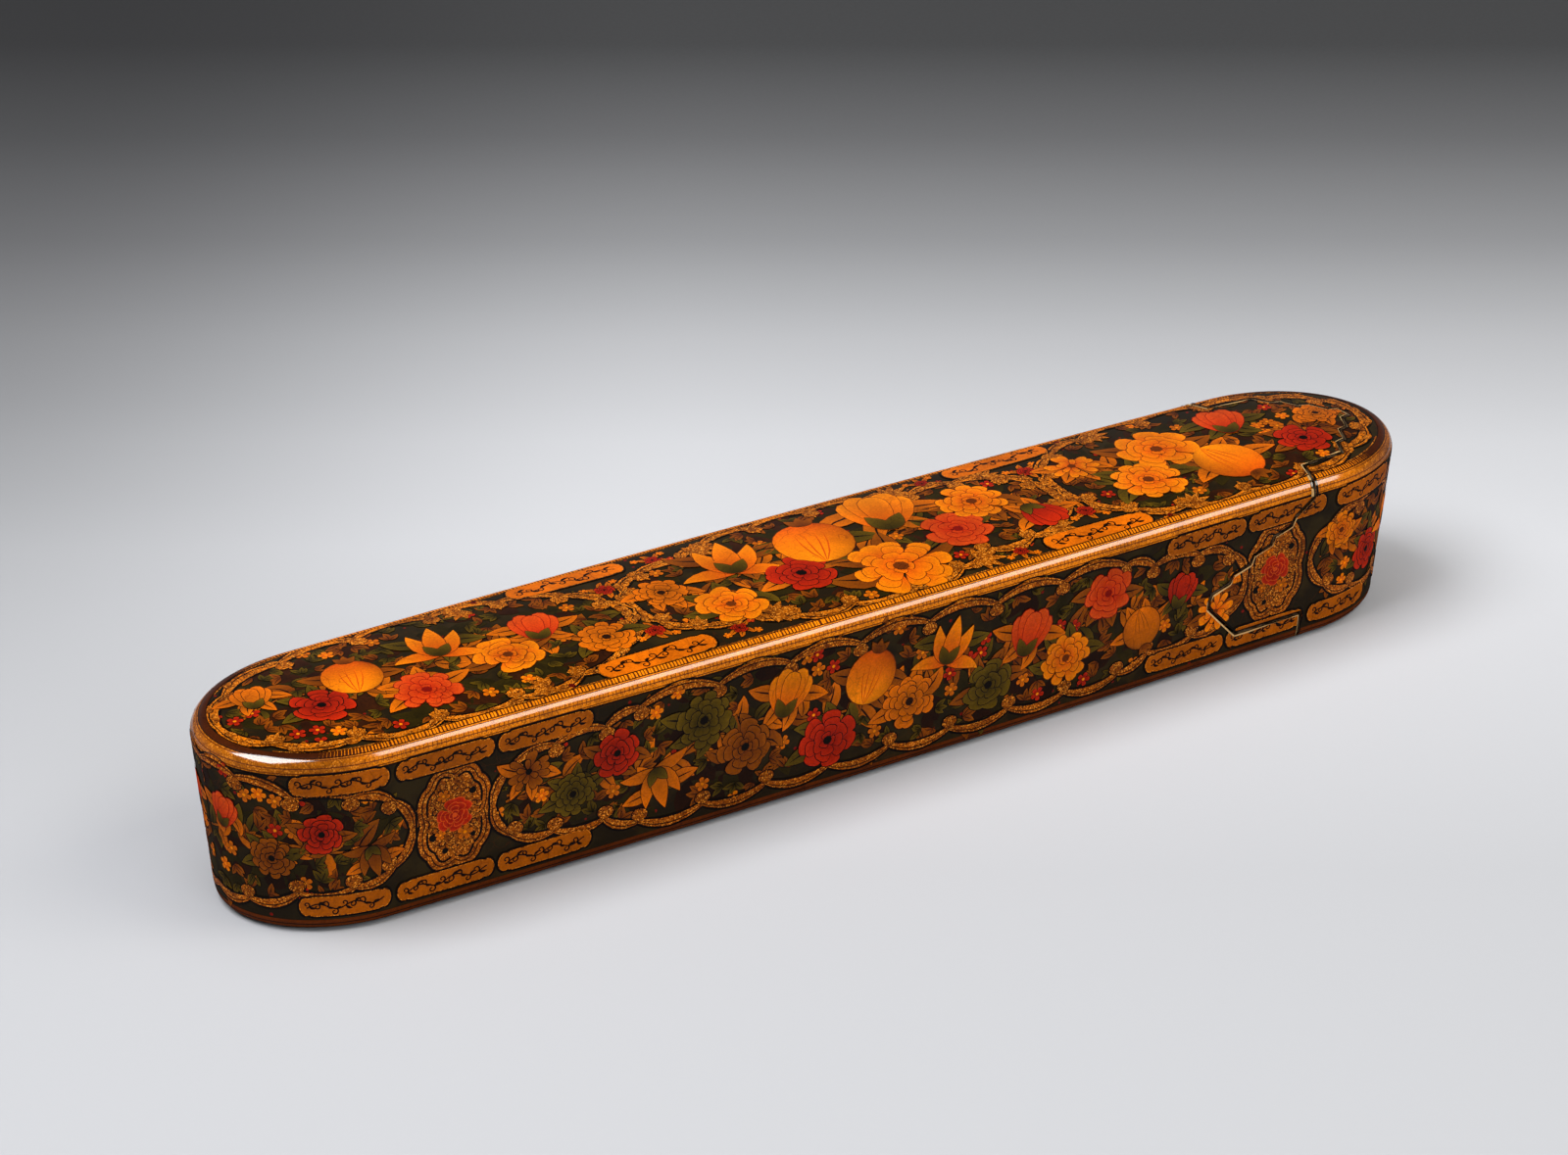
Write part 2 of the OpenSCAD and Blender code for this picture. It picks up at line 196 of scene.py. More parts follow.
def inside(spots: Array, outline: Array) -> Array:
    """Tells which spots lie inside a closed outline, by counting the edges that a ray from each spot crosses.

    Args:
        spots: (n, 2) places.
        outline: (m, 2) corners in order.
    Returns:
        (n,) truth values.
    """
    x, y = spots[:, 0:1], spots[:, 1:2]
    x0, y0 = outline.T
    x1, y1 = np.roll(x0, -1), np.roll(y0, -1)
    spans = (y0 > y) != (y1 > y)
    rise = np.where(y1 == y0, 1.0, y1 - y0)
    return (spans & (x < x0 + (y - y0) * (x1 - x0) / rise)).sum(1) % 2 == 1


def moved_out(outline: Array, by: float) -> Array:
    """Outline with every edge moved outwards, its corners kept sharp.

    Args:
        outline: (n, 2) corners, counter-clockwise.
        by: distance; a negative one moves inwards.
    Returns:
        (n, 2) corners, each moved along the sum of its two edges' normals.
    """
    normal = -left_of(unit(np.roll(outline, -1, 0) - outline))
    before = np.roll(normal, 1, 0)
    share = by / (1.0 + (before * normal).sum(1))
    return outline + share[:, None] * (before + normal)


def cut(table: Array, triangles: Array, axes: list[int], start: Array, end: Array) -> Pair:
    """Splits triangles along a straight cut, so that none near it lies on both sides.

    An edge that crosses the cut gets a corner there, found from its ends' distances to the line.

    Args:
        table: one row of values for each corner.
        triangles: corner numbers, three to a triangle.
        axes: the table's two columns that the cut is drawn in.
        start, end: the cut's ends.
    Returns:
        the longer table and the new triangles.
    """
    slack = 3.0
    size = np.linalg.norm(end - start)
    along = (end - start) / size
    offset = table[:, axes] - start
    away = offset @ left_of(along)
    away[np.abs(away) < 1e-6] = 0.0
    side, place = away[triangles], (offset @ along)[triangles]
    side_next, place_next = np.roll(side, -1, 1), np.roll(place, -1, 1)
    crossed = side * side_next < 0.0
    share = np.where(crossed, side / np.where(crossed, side - side_next, 1.0), 0.0)
    meets = place + share * (place_next - place)
    crossed &= (meets > -slack) & (meets < size + slack)
    count = crossed.sum(1)
    kept, tables, total = [triangles[count == 0]], [table], len(table)
    for edges in (1, 2):
        rows = count == edges
        first = np.argmax(crossed[rows], 1) if edges == 1 else (np.argmin(crossed[rows], 1) + 2) % 3
        turn = (first[:, None] + np.arange(3)) % 3
        a, b, c = np.take_along_axis(triangles[rows], turn, 1).T
        part = np.take_along_axis(share[rows], turn, 1)
        m = total + np.arange(len(a))
        tables.append(table[a] + part[:, 0:1] * (table[b] - table[a]))
        total += len(a)
        if edges == 1:
            kept += [np.stack([a, m, c], 1), np.stack([m, b, c], 1)]
            continue
        n = total + np.arange(len(a))
        tables.append(table[c] + part[:, 2:3] * (table[a] - table[c]))
        kept += [np.stack([a, m, n], 1), np.stack([m, b, c], 1), np.stack([m, c, n], 1)]
    return np.concatenate(tables), np.concatenate(kept)


def cut_round(table: Array, triangles: Array, axes: list[int], outline: Array) -> Pair:
    """Splits triangles along every edge of a closed outline.

    Args:
        table, triangles, axes: as for cut().
        outline: (n, 2) corners in order.
    Returns:
        the longer table and the new triangles.
    """
    for start, end in zip(outline, np.roll(outline, -1, 0)):
        table, triangles = cut(table, triangles, axes, start, end)
    return table, triangles


def make_piece(name: str, points: Array, triangles: Array) -> Piece:
    """New object with a smooth-shaded mesh, at the origin.

    Args:
        name: the piece's name.
        points: (n, 3) corners in millimetres.
        triangles: (m, 3) corner numbers.
    Returns:
        the object, linked to the scene.
    """
    mesh = bpy.data.meshes.new(name)
    mesh.vertices.add(len(points))
    mesh.vertices.foreach_set("co", (points * MM).astype(np.float32).ravel())
    mesh.loops.add(triangles.size)
    mesh.loops.foreach_set("vertex_index", triangles.astype(np.int32).ravel())
    mesh.polygons.add(len(triangles))
    mesh.polygons.foreach_set("loop_start", np.arange(0, triangles.size, 3, dtype=np.int32))
    mesh.update(calc_edges=True)
    mesh.shade_smooth()
    piece = bpy.data.objects.new(name, mesh)
    bpy.context.scene.collection.objects.link(piece)
    return piece


def weld(piece: Piece, distance: float = 0.002) -> None:
    """Merges corners that lie together and drops faces that have no width.

    Args:
        piece: the object to mend.
        distance: how close two corners are to be one, in millimetres.
    """
    work = bmesh.new()
    work.from_mesh(piece.data)
    bmesh.ops.remove_doubles(work, verts=work.verts, dist=distance * MM)
    bmesh.ops.dissolve_degenerate(work, edges=work.edges, dist=distance * MM)
    work.to_mesh(piece.data)
    work.free()


def settle(piece: Piece, sharp: float = 40.0) -> None:
    """Applies the piece's modifiers and marks its sharp edges.

    Args:
        piece: the object to finish.
        sharp: angle in degrees past which an edge is sharp.
    """
    bpy.context.view_layer.update()
    graph = bpy.context.evaluated_depsgraph_get()
    mesh = bpy.data.meshes.new_from_object(piece.evaluated_get(graph))
    piece.modifiers.clear()
    mesh.name = piece.name
    piece.data = mesh
    mesh.set_sharp_from_angle(angle=math.radians(sharp))


@dataclass(frozen=True)
class Shell:
    """Round-ended box form: bowed sides that lean in towards the foot, rounded rim and foot, crowned roof."""

    length: float = 239.6
    width: float = 42.6
    height: float = 33.3
    end_depth: float = 24.8
    bow: float = 1.0
    draft: float = 2.1
    crown: float = 0.8
    crown_flat: float = 3.0
    top_round: float = 2.8
    foot_round: float = 2.6

    @property
    def end_x(self) -> float:
        """Where the rounded ends begin."""
        return self.length / 2 - self.end_depth

    @property
    def end_half(self) -> float:
        """Half-width where the ends begin."""
        return self.width / 2 - self.bow

    @property
    def shoulder(self) -> float:
        """Height at which the side meets the rim's rounding."""
        return self.height - self.top_round

    @property
    def rim_v(self) -> float:
        """Distance up the wall, round the rim, at which the roof begins."""
        return self.shoulder + self.top_round * QUARTER

    def lean(self, z: Values) -> Array:
        """How far the sides have leaned in at height z."""
        return self.draft * np.clip((self.shoulder - z) / (self.shoulder - self.foot_round), 0.0, 1.0)

    def half(self, x: Values) -> Array:
        """Half-width of the plan at x: the ends' half-width plus a parabola for the bow."""
        return self.end_half + self.bow * (1.0 - (np.minimum(np.abs(x), self.end_x) / self.end_x) ** 2)

    def roof(self, inset: Array) -> Array:
        """Height of the rim and roof at an inset from the outline.

        Args:
            inset: distance in from the plan's outline.
        Returns:
            a quarter circle over the rim, then a parabola that levels off near the middle.
        """
        past = inset - self.top_round
        share = np.clip(past / (self.end_half - self.crown_flat - self.top_round), 0.0, 1.0)
        arch = self.height + self.crown * (1.0 - (1.0 - share) ** 2)
        left = np.clip(self.top_round - inset, 0.0, self.top_round)
        return np.where(inset < self.top_round, self.shoulder + np.sqrt(self.top_round**2 - left**2), arch)

    def end_arc(self) -> Pair:
        """Angles round half an end, and the length of outline up to each: the ellipse's speed summed up."""
        angle = np.linspace(0.0, QUARTER, 181)
        speed = np.hypot(self.end_depth * np.cos(angle), self.end_half * np.sin(angle))
        steps = (speed[1:] + speed[:-1]) / 2 * (angle[1] - angle[0])
        return angle, np.concatenate([[0.0], np.cumsum(steps)])

    @property
    def tip(self) -> float:
        """Distance along the wall from its middle to the middle of an end."""
        return self.end_x + float(self.end_arc()[1][-1])

    def loft(self, inset: Array, height: Array, side: int = 120, end: int = 60) -> Pair:
        """Closed skin through a stack of rings, whose first and last collapse onto the middle line.

        A ring is the plan's outline moved in: bowed sides, then half an ellipse for each end.

        Args:
            inset, height: how far each ring lies in from the outline, and how high.
            side, end: points along a side and round an end.
        Returns:
            corners and triangles.
        """
        u = np.linspace(-1.0, 1.0, side, endpoint=False)
        a = np.linspace(-QUARTER, QUARTER, end, endpoint=False)
        ones, zeros = np.ones(end), np.zeros(side)
        x0 = np.concatenate([self.end_x * u, self.end_x * ones])
        y0 = np.concatenate([-self.bow * (1.0 - u**2), 0.0 * ones])
        cosine = np.concatenate([zeros, np.cos(a)])
        sine = np.concatenate([zeros - 1.0, np.sin(a)])
        x0, y0, cosine, sine = (np.concatenate([v, -v]) for v in (x0, y0, cosine, sine))
        rings = inset[:, None]
        x = x0 + (self.end_depth - rings) * cosine
        y = y0 + (self.end_half - rings) * sine
        y[[0, -1]] = 0.0
        z = np.broadcast_to(height[:, None], x.shape)
        return np.stack([x, y, z], -1).reshape(-1, 3), grid_triangles(*x.shape, wrap=True)

    def skin(self) -> Pair:
        """Corners and triangles of the outside, from the underside's middle to the roof's."""
        under = np.linspace(self.end_half, self.draft + self.foot_round, 8)
        turn = np.linspace(0.0, QUARTER, 9)[1:]
        up = np.linspace(self.foot_round, self.shoulder, 17)[1:]
        over = np.linspace(self.top_round, self.end_half, 16)[1:]
        inset = np.concatenate([under, self.draft + self.foot_round * (1.0 - np.sin(turn)), self.lean(up),
                                self.top_round * (1.0 - np.cos(turn)), over])
        height = np.concatenate([0.0 * under, self.foot_round * (1.0 - np.cos(turn)), up,
                                 self.shoulder + self.top_round * np.sin(turn), self.roof(over)])
        return self.loft(inset, height)


@dataclass(frozen=True)
class Chart:
    """Flat coordinates on one face of the shell: x and y on the roof, distance along and up on a wall."""

    shell: Shell
    face: Face

    @property
    def roof(self) -> bool:
        """Whether the face is the roof."""
        return self.face is Face.ROOF

    def place(self, uv: Array) -> Array:
        """Places, as (..., 3), of flat coordinates, given as (..., 2)."""
        spots = (self.on_roof if self.roof else self.on_wall)(uv[..., 0], uv[..., 1])
        return spots * np.array([1.0, -1.0, 1.0]) if self.face is Face.FAR else spots

    def on_roof(self, x: Array, y: Array) -> Array:
        """Point above (x, y): its inset is halved in on until the ring of that inset runs through it.

        Args:
            x, y: along and across the box.
        Returns:
            (..., 3) places.
        """
        shell = self.shell
        past = np.maximum(np.abs(x) - shell.end_x, 0.0)
        low, high = np.zeros_like(x), np.full_like(x, shell.end_half - 0.05)
        for _ in range(26):
            mid = (low + high) / 2
            out = (past / (shell.end_depth - mid)) ** 2 + (y / (shell.end_half - mid)) ** 2 > 1.0
            high, low = np.where(out, mid, high), np.where(out, low, mid)
        inset = np.where(past > 0.0, low, shell.half(x) - np.abs(y))
        return np.stack([x, y, shell.roof(inset)], -1)

    def on_wall(self, s: Array, v: Array) -> Array:
        """Point on the near wall: straight along the side, then by arc length round the end.

        Args:
            s: distance along the outline from the middle of the side.
            v: height, carried on round the rim above the shoulder and round the foot below it.
        Returns:
            (..., 3) places.
        """
        shell = self.shell
        top, foot = shell.top_round, shell.foot_round
        over = np.clip((v - shell.shoulder) / top, 0.0, QUARTER)
        under = np.clip((foot - v) / foot, 0.0, QUARTER)
        straight = np.clip(v, foot, shell.shoulder)
        z = straight + top * np.sin(over) - foot * np.sin(under)
        inset = shell.lean(straight) + top * (1.0 - np.cos(over)) + foot * (1.0 - np.cos(under))
        angle, arc = shell.end_arc()
        turn = np.interp(np.abs(s) - shell.end_x, arc, angle)
        x = np.sign(s) * (np.minimum(np.abs(s), shell.end_x) + (shell.end_depth - inset) * np.sin(turn))
        y = -(shell.half(s) - inset) * np.cos(turn)
        return np.stack([x, y, z], -1)

    def within_rim(self, uv: Array) -> Array:
        """Roof coordinates drawn in across the box, to where the rim's rounding begins.

        Args:
            uv: (..., 2) coordinates.
        Returns:
            the same, none of them on the rim.
        """
        shell = self.shell
        reach = shell.length / 2 - shell.top_round
        x = np.clip(uv[..., 0], -reach, reach)
        past = np.clip((np.abs(x) - shell.end_x) / (shell.end_depth - shell.top_round), 0.0, 1.0)
        limit = shell.half(x) - shell.end_half + (shell.end_half - shell.top_round) * np.sqrt(1.0 - past**2)
        return np.stack([x, np.clip(uv[..., 1], -limit, limit)], -1)

    def lifted(self, uv: Array, lift: Array) -> Pair:
        """Places a little above the face, and the face's normals there.

        Args:
            uv: (n, 2) coordinates.
            lift: (n,) heights above the face.
        Returns:
            places and unit normals; a normal is the cross product of two short steps on the face.
        """
        right, up = (self.place(uv + step) - self.place(uv - step) for step in 0.02 * np.eye(2))
        normal = unit(np.cross(right, up) * (-1.0 if self.face is Face.FAR else 1.0))
        return self.place(uv) + lift[:, None] * normal, normal


@dataclass(frozen=True)
class Seam:
    """Stepped joint between the case and the drawer's head."""

    shell: Shell = Shell()
    head_depth: float = 29.8
    shoulder: float = 4.6
    steps: int = 5
    cheek_reach: float = 22.0
    cheek_height: float = 14.0
    cheek_tip: float = 1.6
    cheek_slope: float = 0.95
    lip_height: float = 5.8
    run_share: float = 0.86
    run_fall: float = 0.42
    side_strip: float = 6.0
    end_strip: float = 7.0
    tongue_steps: int = 3
    tongue_root: float = 2.2
    tongue_slant: float = 11.0
    tongue_taper: float = 0.8
    tongue_tip: float = 1.5
    gap: float = 0.5
    past: float = 8.0

    @property
    def x(self) -> float:
        """Where the seam's straight stretches lie along the box."""
        return self.shell.length / 2 - self.head_depth

    @property
    def z(self) -> float:
        """Height of the seam's first step."""
        return self.shell.height - self.shoulder

    def stairs(self) -> Array:
        """Corners, as distance along and height, down the steps to the cheek, along the lip and down."""
        low = self.cheek_height - self.cheek_tip / 2
        tall = self.cheek_height + self.cheek_tip / 2
        step = np.array([-self.cheek_reach, tall - self.z]) / self.steps
        tip = self.x - self.cheek_reach
        rest = [[tip, tall], [tip, low], [tip + (low - self.lip_height) * self.cheek_slope, self.lip_height],
                [self.x, self.lip_height], [self.x, -self.past]]
        treads = np.array([self.x, self.z]) + np.arange(self.steps)[:, None] * step
        edges = treads + step * np.array([self.run_share, self.run_fall])
        return np.concatenate([np.stack([treads, edges], 1).reshape(-1, 2), rest])

    def side(self, back: float = 0.0) -> Array:
        """Side view of everything on the head's side of the seam, drawn back by a gap."""
        far, top = self.shell.length, self.shell.height + self.past
        head = [[far, -self.past], [far, top], [self.x, top]]
        return moved_out(np.concatenate([head, self.stairs()]), -back)

    def wall(self, back: float = 0.0) -> Array:
        """The same in the wall's coordinates, where the seam leans along the tongue's root over the rim.

        Args:
            back: how far the outline is drawn back.
        Returns:
            (n, 2) corners.
        """
        shell = self.shell
        turn = np.linspace(QUARTER, 0.0, 4)
        width = shell.half(self.x) - shell.top_round * (1.0 - np.cos(turn))
        fall = self.tongue_root / (shell.width / 2 - shell.end_half + self.side_strip)
        lean = self.x + fall * (shell.width / 2 - width)
        root = np.stack([lean, shell.shoulder + shell.top_round * turn], 1)
        far, top = shell.length, shell.rim_v + self.past
        head = [[far, -self.past], [far, top], [root[0, 0], top]]
        return moved_out(np.concatenate([head, root, self.stairs()[1:]]), -back)

    def tongue(self, grow: float = 0.0) -> Array:
        """Plan of the tongue of roof that the case lays over the drawer: stepped towards its tip.

        Args:
            grow: how far the outline is moved out.
        Returns:
            (n, 2) corners, counter-clockwise.
        """
        shell = self.shell
        half = shell.end_half - self.side_strip
        straight = self.head_depth - self.end_strip - self.tongue_slant
        start = np.array([self.x + straight, half - self.tongue_taper])
        end = np.array([shell.length / 2 - self.end_strip, self.tongue_tip])
        step = (end - start) / self.tongue_steps
        root = [[self.x - self.past, shell.width], [self.x - self.tongue_root, shell.width],
                [self.x, shell.width / 2], [self.x + self.tongue_root, half]]
        treads = start + np.arange(self.tongue_steps)[:, None] * step
        edges = treads + step * np.array([self.run_fall, self.run_share])
        far = np.concatenate([root, np.stack([treads, edges], 1).reshape(-1, 2), [end]])
        return moved_out(np.concatenate([far * [1.0, -1.0], far[::-1]]), grow)

    def cut_skin(self, points: Array, triangles: Array, head: bool) -> Pair:
        """Part of the shell's skin that belongs to the case or to the head.

        Args:
            points, triangles: the whole skin.
            head: True for the head's part.
        Returns:
            corners and triangles of that part.
        """
        gap = self.gap if head else 0.0
        side, tongue = self.side(gap), self.tongue(gap)
        points, triangles = cut_round(points, triangles, [0, 2], side)
        low = points[triangles][:, :, 2].mean(1) < self.z - self.past
        under, over = triangles[low], triangles[~low]
        step = np.array([[0.0, self.z], [self.shell.length, self.z]])
        points, over = cut(points, over, [0, 2], step[0], step[1])
        points, over = cut_round(points, over, [0, 1], tongue)
        triangles = np.concatenate([under, over])
        middle = points[triangles].mean(1)
        mine = inside(middle[:, [0, 2]], side)
        mine &= ~((middle[:, 2] > self.z) & inside(middle[:, :2], tongue))
        return points, triangles[mine == head]


class Painting:
    """Flat painted patches on one chart, each a grid of corners with its own colours.

    A patch lies a hair above the face, and later paint lies above earlier paint. No two patches have quite
    the same height, so that none lie in one plane.
    """

    def __init__(self, chart: Chart) -> None:
        """Starts an empty painting on a chart."""
        self.chart = chart
        self.twin = False
        self.sheets: list[tuple[Array, Array, Array, float]] = []

    def lay(self, corners: Array, colours: Array, lift: Values, gilt: float = 0.0) -> None:
        """Adds patches, and their mirror images across the box where twin is set.

        Args:
            corners: (n, a, b, 2) places on the chart.
            colours: linear colours that fit (n, a, b, 3).
            lift: height above the face, one for each patch or one for all.
            gilt: share of gold leaf from 0 to 1.
        """
        colours = np.broadcast_to(colours, corners.shape[:3] + (3,))
        lift = np.broadcast_to(lift, corners.shape[:1])
        if self.chart.roof:
            corners = self.chart.within_rim(corners)
        self.sheets.append((corners, colours, lift, gilt))
        if self.twin:
            self.sheets.append((corners * np.array([1.0, -1.0]), colours, lift, gilt))

    def stroke(self, path: Array, width: Values, pigment: Pigment, lift: float, gilt: float = 0.0) -> None:
        """Brush strokes: a ribbon of the given width along each path.

        Args:
            path: (n, 2) or (m, n, 2) points.
            width: full width, one for all or one for each point.
            pigment, lift, gilt: the paint, its height above the face and its share of gold leaf.
        """
        path = path.reshape((-1,) + path.shape[-2:])
        across = left_of(unit(np.gradient(path, axis=1)))
        half = np.broadcast_to(np.asarray(width) / 2, path.shape[:2])[..., None]
        self.lay(np.stack([path - across * half, path + across * half], 2), pigment.linear(), lift, gilt)

    def blades(self, spot: Array, turn: Array, length: Values, width: Values, lift: Values,
               shade: Shade, form: Form = Form.LEAF, bend: Values = 0.0, gilt: float = 0.0,
               fine: bool = True) -> None:
        """Leaves or petals: a bent middle line with the form's half-width to both sides, shaded root to tip.

        Args:
            spot: (n, 2) roots, or (2,) for one.
            turn: (n,) headings in radians.
            length, width: lengths, and half-widths at the widest place.
            lift: height above the face.
            shade: colours, with a thin edge round each blade where it has a line.
            form: the outline.
            bend: how far the heading turns from root to tip.
            gilt: share of gold leaf.
            fine: False for small blades with fewer corners.
        """
        count = len(turn)
        steps, cross = ((13, 9) if form is Form.ROUND else (9, 4)) if fine else (6, 3)
        edge = 0.16 if fine else 0.11
        along = (1.0 - np.cos(math.pi * np.linspace(0.0, 1.0, steps))) / 2
        over = np.linspace(-1.0, 1.0, cross)
        turn, length, width, bend = (np.broadcast_to(v, count)[:, None] for v in (turn, length, width, bend))
        inner, outer = (np.broadcast_to(v, (count, 3))[:, None, None] for v in shade.ends())
        light = 1.1 - 0.3 * (over - 0.35) ** 2 if form is Form.ROUND else 0.84 + 0.2 * np.abs(over)
        body = (inner + (outer - inner) * along[:, None, None] ** 1.2) * light[:, None]
        heading = turn + bend * along
        middle = (heading[:, 1:] + heading[:, :-1]) / 2
        aside = left_of(rays(heading))[:, :, None]
        for grow in (edge, 0.0) if shade.line else (0.0,):
            run = rays(middle) * ((length + 2 * grow) * np.diff(along))[..., None]
            start = spot - grow * rays(turn[:, 0])
            path = start[:, None] + np.concatenate([np.zeros((count, 1, 2)), np.cumsum(run, 1)], 1)
            half = (width + grow) * form.half_width(along)
            corners = path[:, :, None] + aside * (half[..., None] * over)[..., None]
            if grow:
                self.lay(corners, shade.line.linear(), np.asarray(lift) - 0.006)
            else:
                self.lay(corners, body, lift, gilt)

    def dots(self, spot: Array, radius: Values, pigment: Pigment, lift: float, gilt: float = 0.0) -> None:
        """Round dots, each a fan of eight corners.

        Args:
            spot: (n, 2) middles.
            radius: one for all or one for each.
            pigment, lift, gilt: the paint, its height above the face and its share of gold leaf.
        """
        rows = np.array([0.0, 1.0])[:, None, None] * rays(np.linspace(0.0, TURN, 9))
        size = np.broadcast_to(radius, len(spot))[:, None, None, None]
        self.lay(spot[:, None, None] + size * rows, pigment.linear(), lift, gilt)

    def table(self) -> tuple[Array, Array, Array]:
        """All patches as one table of corners.

        Returns:
            rows of (u, v, red, green, blue, gilt, lift, place along and across the patch, patch number),
            triangles that face outwards, and each patch's length and breadth.
        """
        rows, faces, sizes = [], [], []
        total = patches = 0
        for corners, colours, lift, gilt in self.sheets:
            n, a, b, _ = corners.shape
            number = np.arange(n) + patches
            lift = 0.84 * lift + 0.003 * (number * 0.618034 % 1.0)
            s, t = np.meshgrid(np.linspace(0.0, 1.0, a), np.linspace(0.0, 1.0, b), indexing="ij")
            lift, number = lift[:, None, None], number[:, None, None]
            extra = [np.broadcast_to(v, (n, a, b)) for v in (gilt, lift, s, t, number)]
            rows.append(np.concatenate([corners, colours, np.stack(extra, -1)], -1).reshape(-1, 10))
            start = total + np.arange(n)[:, None, None] * (a * b)
            faces.append((grid_triangles(a, b)[None] + start).reshape(-1, 3))
            long = np.linalg.norm(np.diff(corners, axis=1), axis=3).sum(1).max(1)
            broad = np.linalg.norm(np.diff(corners, axis=2), axis=3).sum(2).max(1)
            sizes.append(np.stack([long, broad], 1))
            total += n * a * b
            patches += n
        table, triangles = np.concatenate(rows), np.concatenate(faces)
        p, q, r = (table[triangles[:, i], :2] for i in range(3))
        area = (q[:, 0] - p[:, 0]) * (r[:, 1] - p[:, 1]) - (q[:, 1] - p[:, 1]) * (r[:, 0] - p[:, 0])
        turned = (area < 0.0) != (self.chart.face is Face.FAR)
        triangles = np.where(turned[:, None], triangles[:, ::-1], triangles)
        return table, triangles[np.abs(area) > 1e-4], np.concatenate(sizes)

    def pieces(self, seam: Seam | None, name: str) -> dict[str, Piece]:
        """Paint as objects: parted at the seam and cut at a wall's two tips, or one alone without a seam.

        Args:
            seam: the seam, or None.
            name: end of the pieces' names.
        Returns:
            the new objects by the name of what carries them.
        """
        table, triangles, sizes = self.table()
        if seam is None:
            return {"tray": self.piece(f"tray_{name}", table, triangles, sizes)}
        made, roof, tip = {}, self.chart.roof, self.chart.shell.tip
        if not roof:
            for s in (-tip, tip):
                table, triangles = cut(table, triangles, [0, 1], np.array([s, 0.0]), np.array([s, tip]))
            triangles = triangles[np.abs(table[triangles][:, :, 0].mean(1)) < tip]
        for owner, back in (("case", -0.06), ("head", seam.gap + 0.06)):
            outline = (seam.tongue if roof else seam.wall)(back)
            rows, faces = cut_round(table, triangles, [0, 1], outline)
            middle = rows[faces][:, :, :2].mean(1)
            beyond = inside(middle, outline) != roof
            if roof:
                beyond &= middle[:, 0] > seam.x - seam.tongue_root
            made[owner] = self.piece(f"{owner}_{name}", rows, faces[beyond == (owner == "head")], sizes)
        return made

    def piece(self, name: str, table: Array, triangles: Array, sizes: Array) -> Piece:
        """One object of paint, with colours, normals and a map that gives each patch a place of its own.

        The map puts the patches on shelves, the broadest first.

        Args:
            name: the piece's name.
            table, triangles, sizes: as table() gives them.
        Returns:
            the object.
        """
        margin = 0.15
        used, flat = np.unique(triangles, return_inverse=True)
        rows, triangles = table[used], flat.reshape(-1, 3)
        points, normals = self.chart.lifted(rows[:, :2], rows[:, 6])
        piece = make_piece(name, points, triangles)
        mesh = piece.data
        paint = mesh.color_attributes.new("paint", "FLOAT_COLOR", "POINT")
        paint.data.foreach_set("color", rows[:, 2:6].astype(np.float32).ravel())
        patch, own = np.unique(np.rint(rows[:, 9]).astype(int), return_inverse=True)
        room = sizes[patch] + 2 * margin
        order = np.argsort(-room[:, 1])
        long, broad = room[order].T
        reach = math.sqrt(float((long * broad).sum()) * 1.1)
        start = np.cumsum(long) - long
        shelf = np.floor(start / reach).astype(int)
        shelves, first = np.unique(shelf, return_index=True)
        floor = np.concatenate([[0.0], np.cumsum(broad[first])])
        corner = np.empty((len(patch), 2))
        corner[order, 0] = start - shelf * reach
        corner[order, 1] = floor[np.searchsorted(shelves, shelf)]
        side = max(reach + float(long.max()), float(floor[-1]))
        bake = (corner[own] + margin + rows[:, 7:9] * (room[own] - 2 * margin)) / side
        flat_map = mesh.uv_layers.new(name="OFBake")
        flat_map.data.foreach_set("uv", bake[triangles.ravel()].astype(np.float32).ravel())
        mesh.normals_split_custom_set_from_vertices(normals)
        return piece


def arcs(nodes: list[Spot], bulge: float, steps: int) -> Array:
    """Path of shallow arcs from node to node, each bowed to the right of its run by a parabola.

    Args:
        nodes: corners where two arcs meet.
        bulge: height of an arc as a share of its chord.
        steps: points on each arc.
    Returns:
        (n, 2) points.
    """
    ends = np.asarray(nodes, float)
    run = np.diff(ends, axis=0)[:, None]
    t = np.linspace(0.0, 1.0, steps, endpoint=False)[None, :, None]
    path = ends[:-1, None] + run * t - left_of(run) * (4.0 * bulge * t * (1.0 - t))
    return np.concatenate([path.reshape(-1, 2), ends[-1:]])


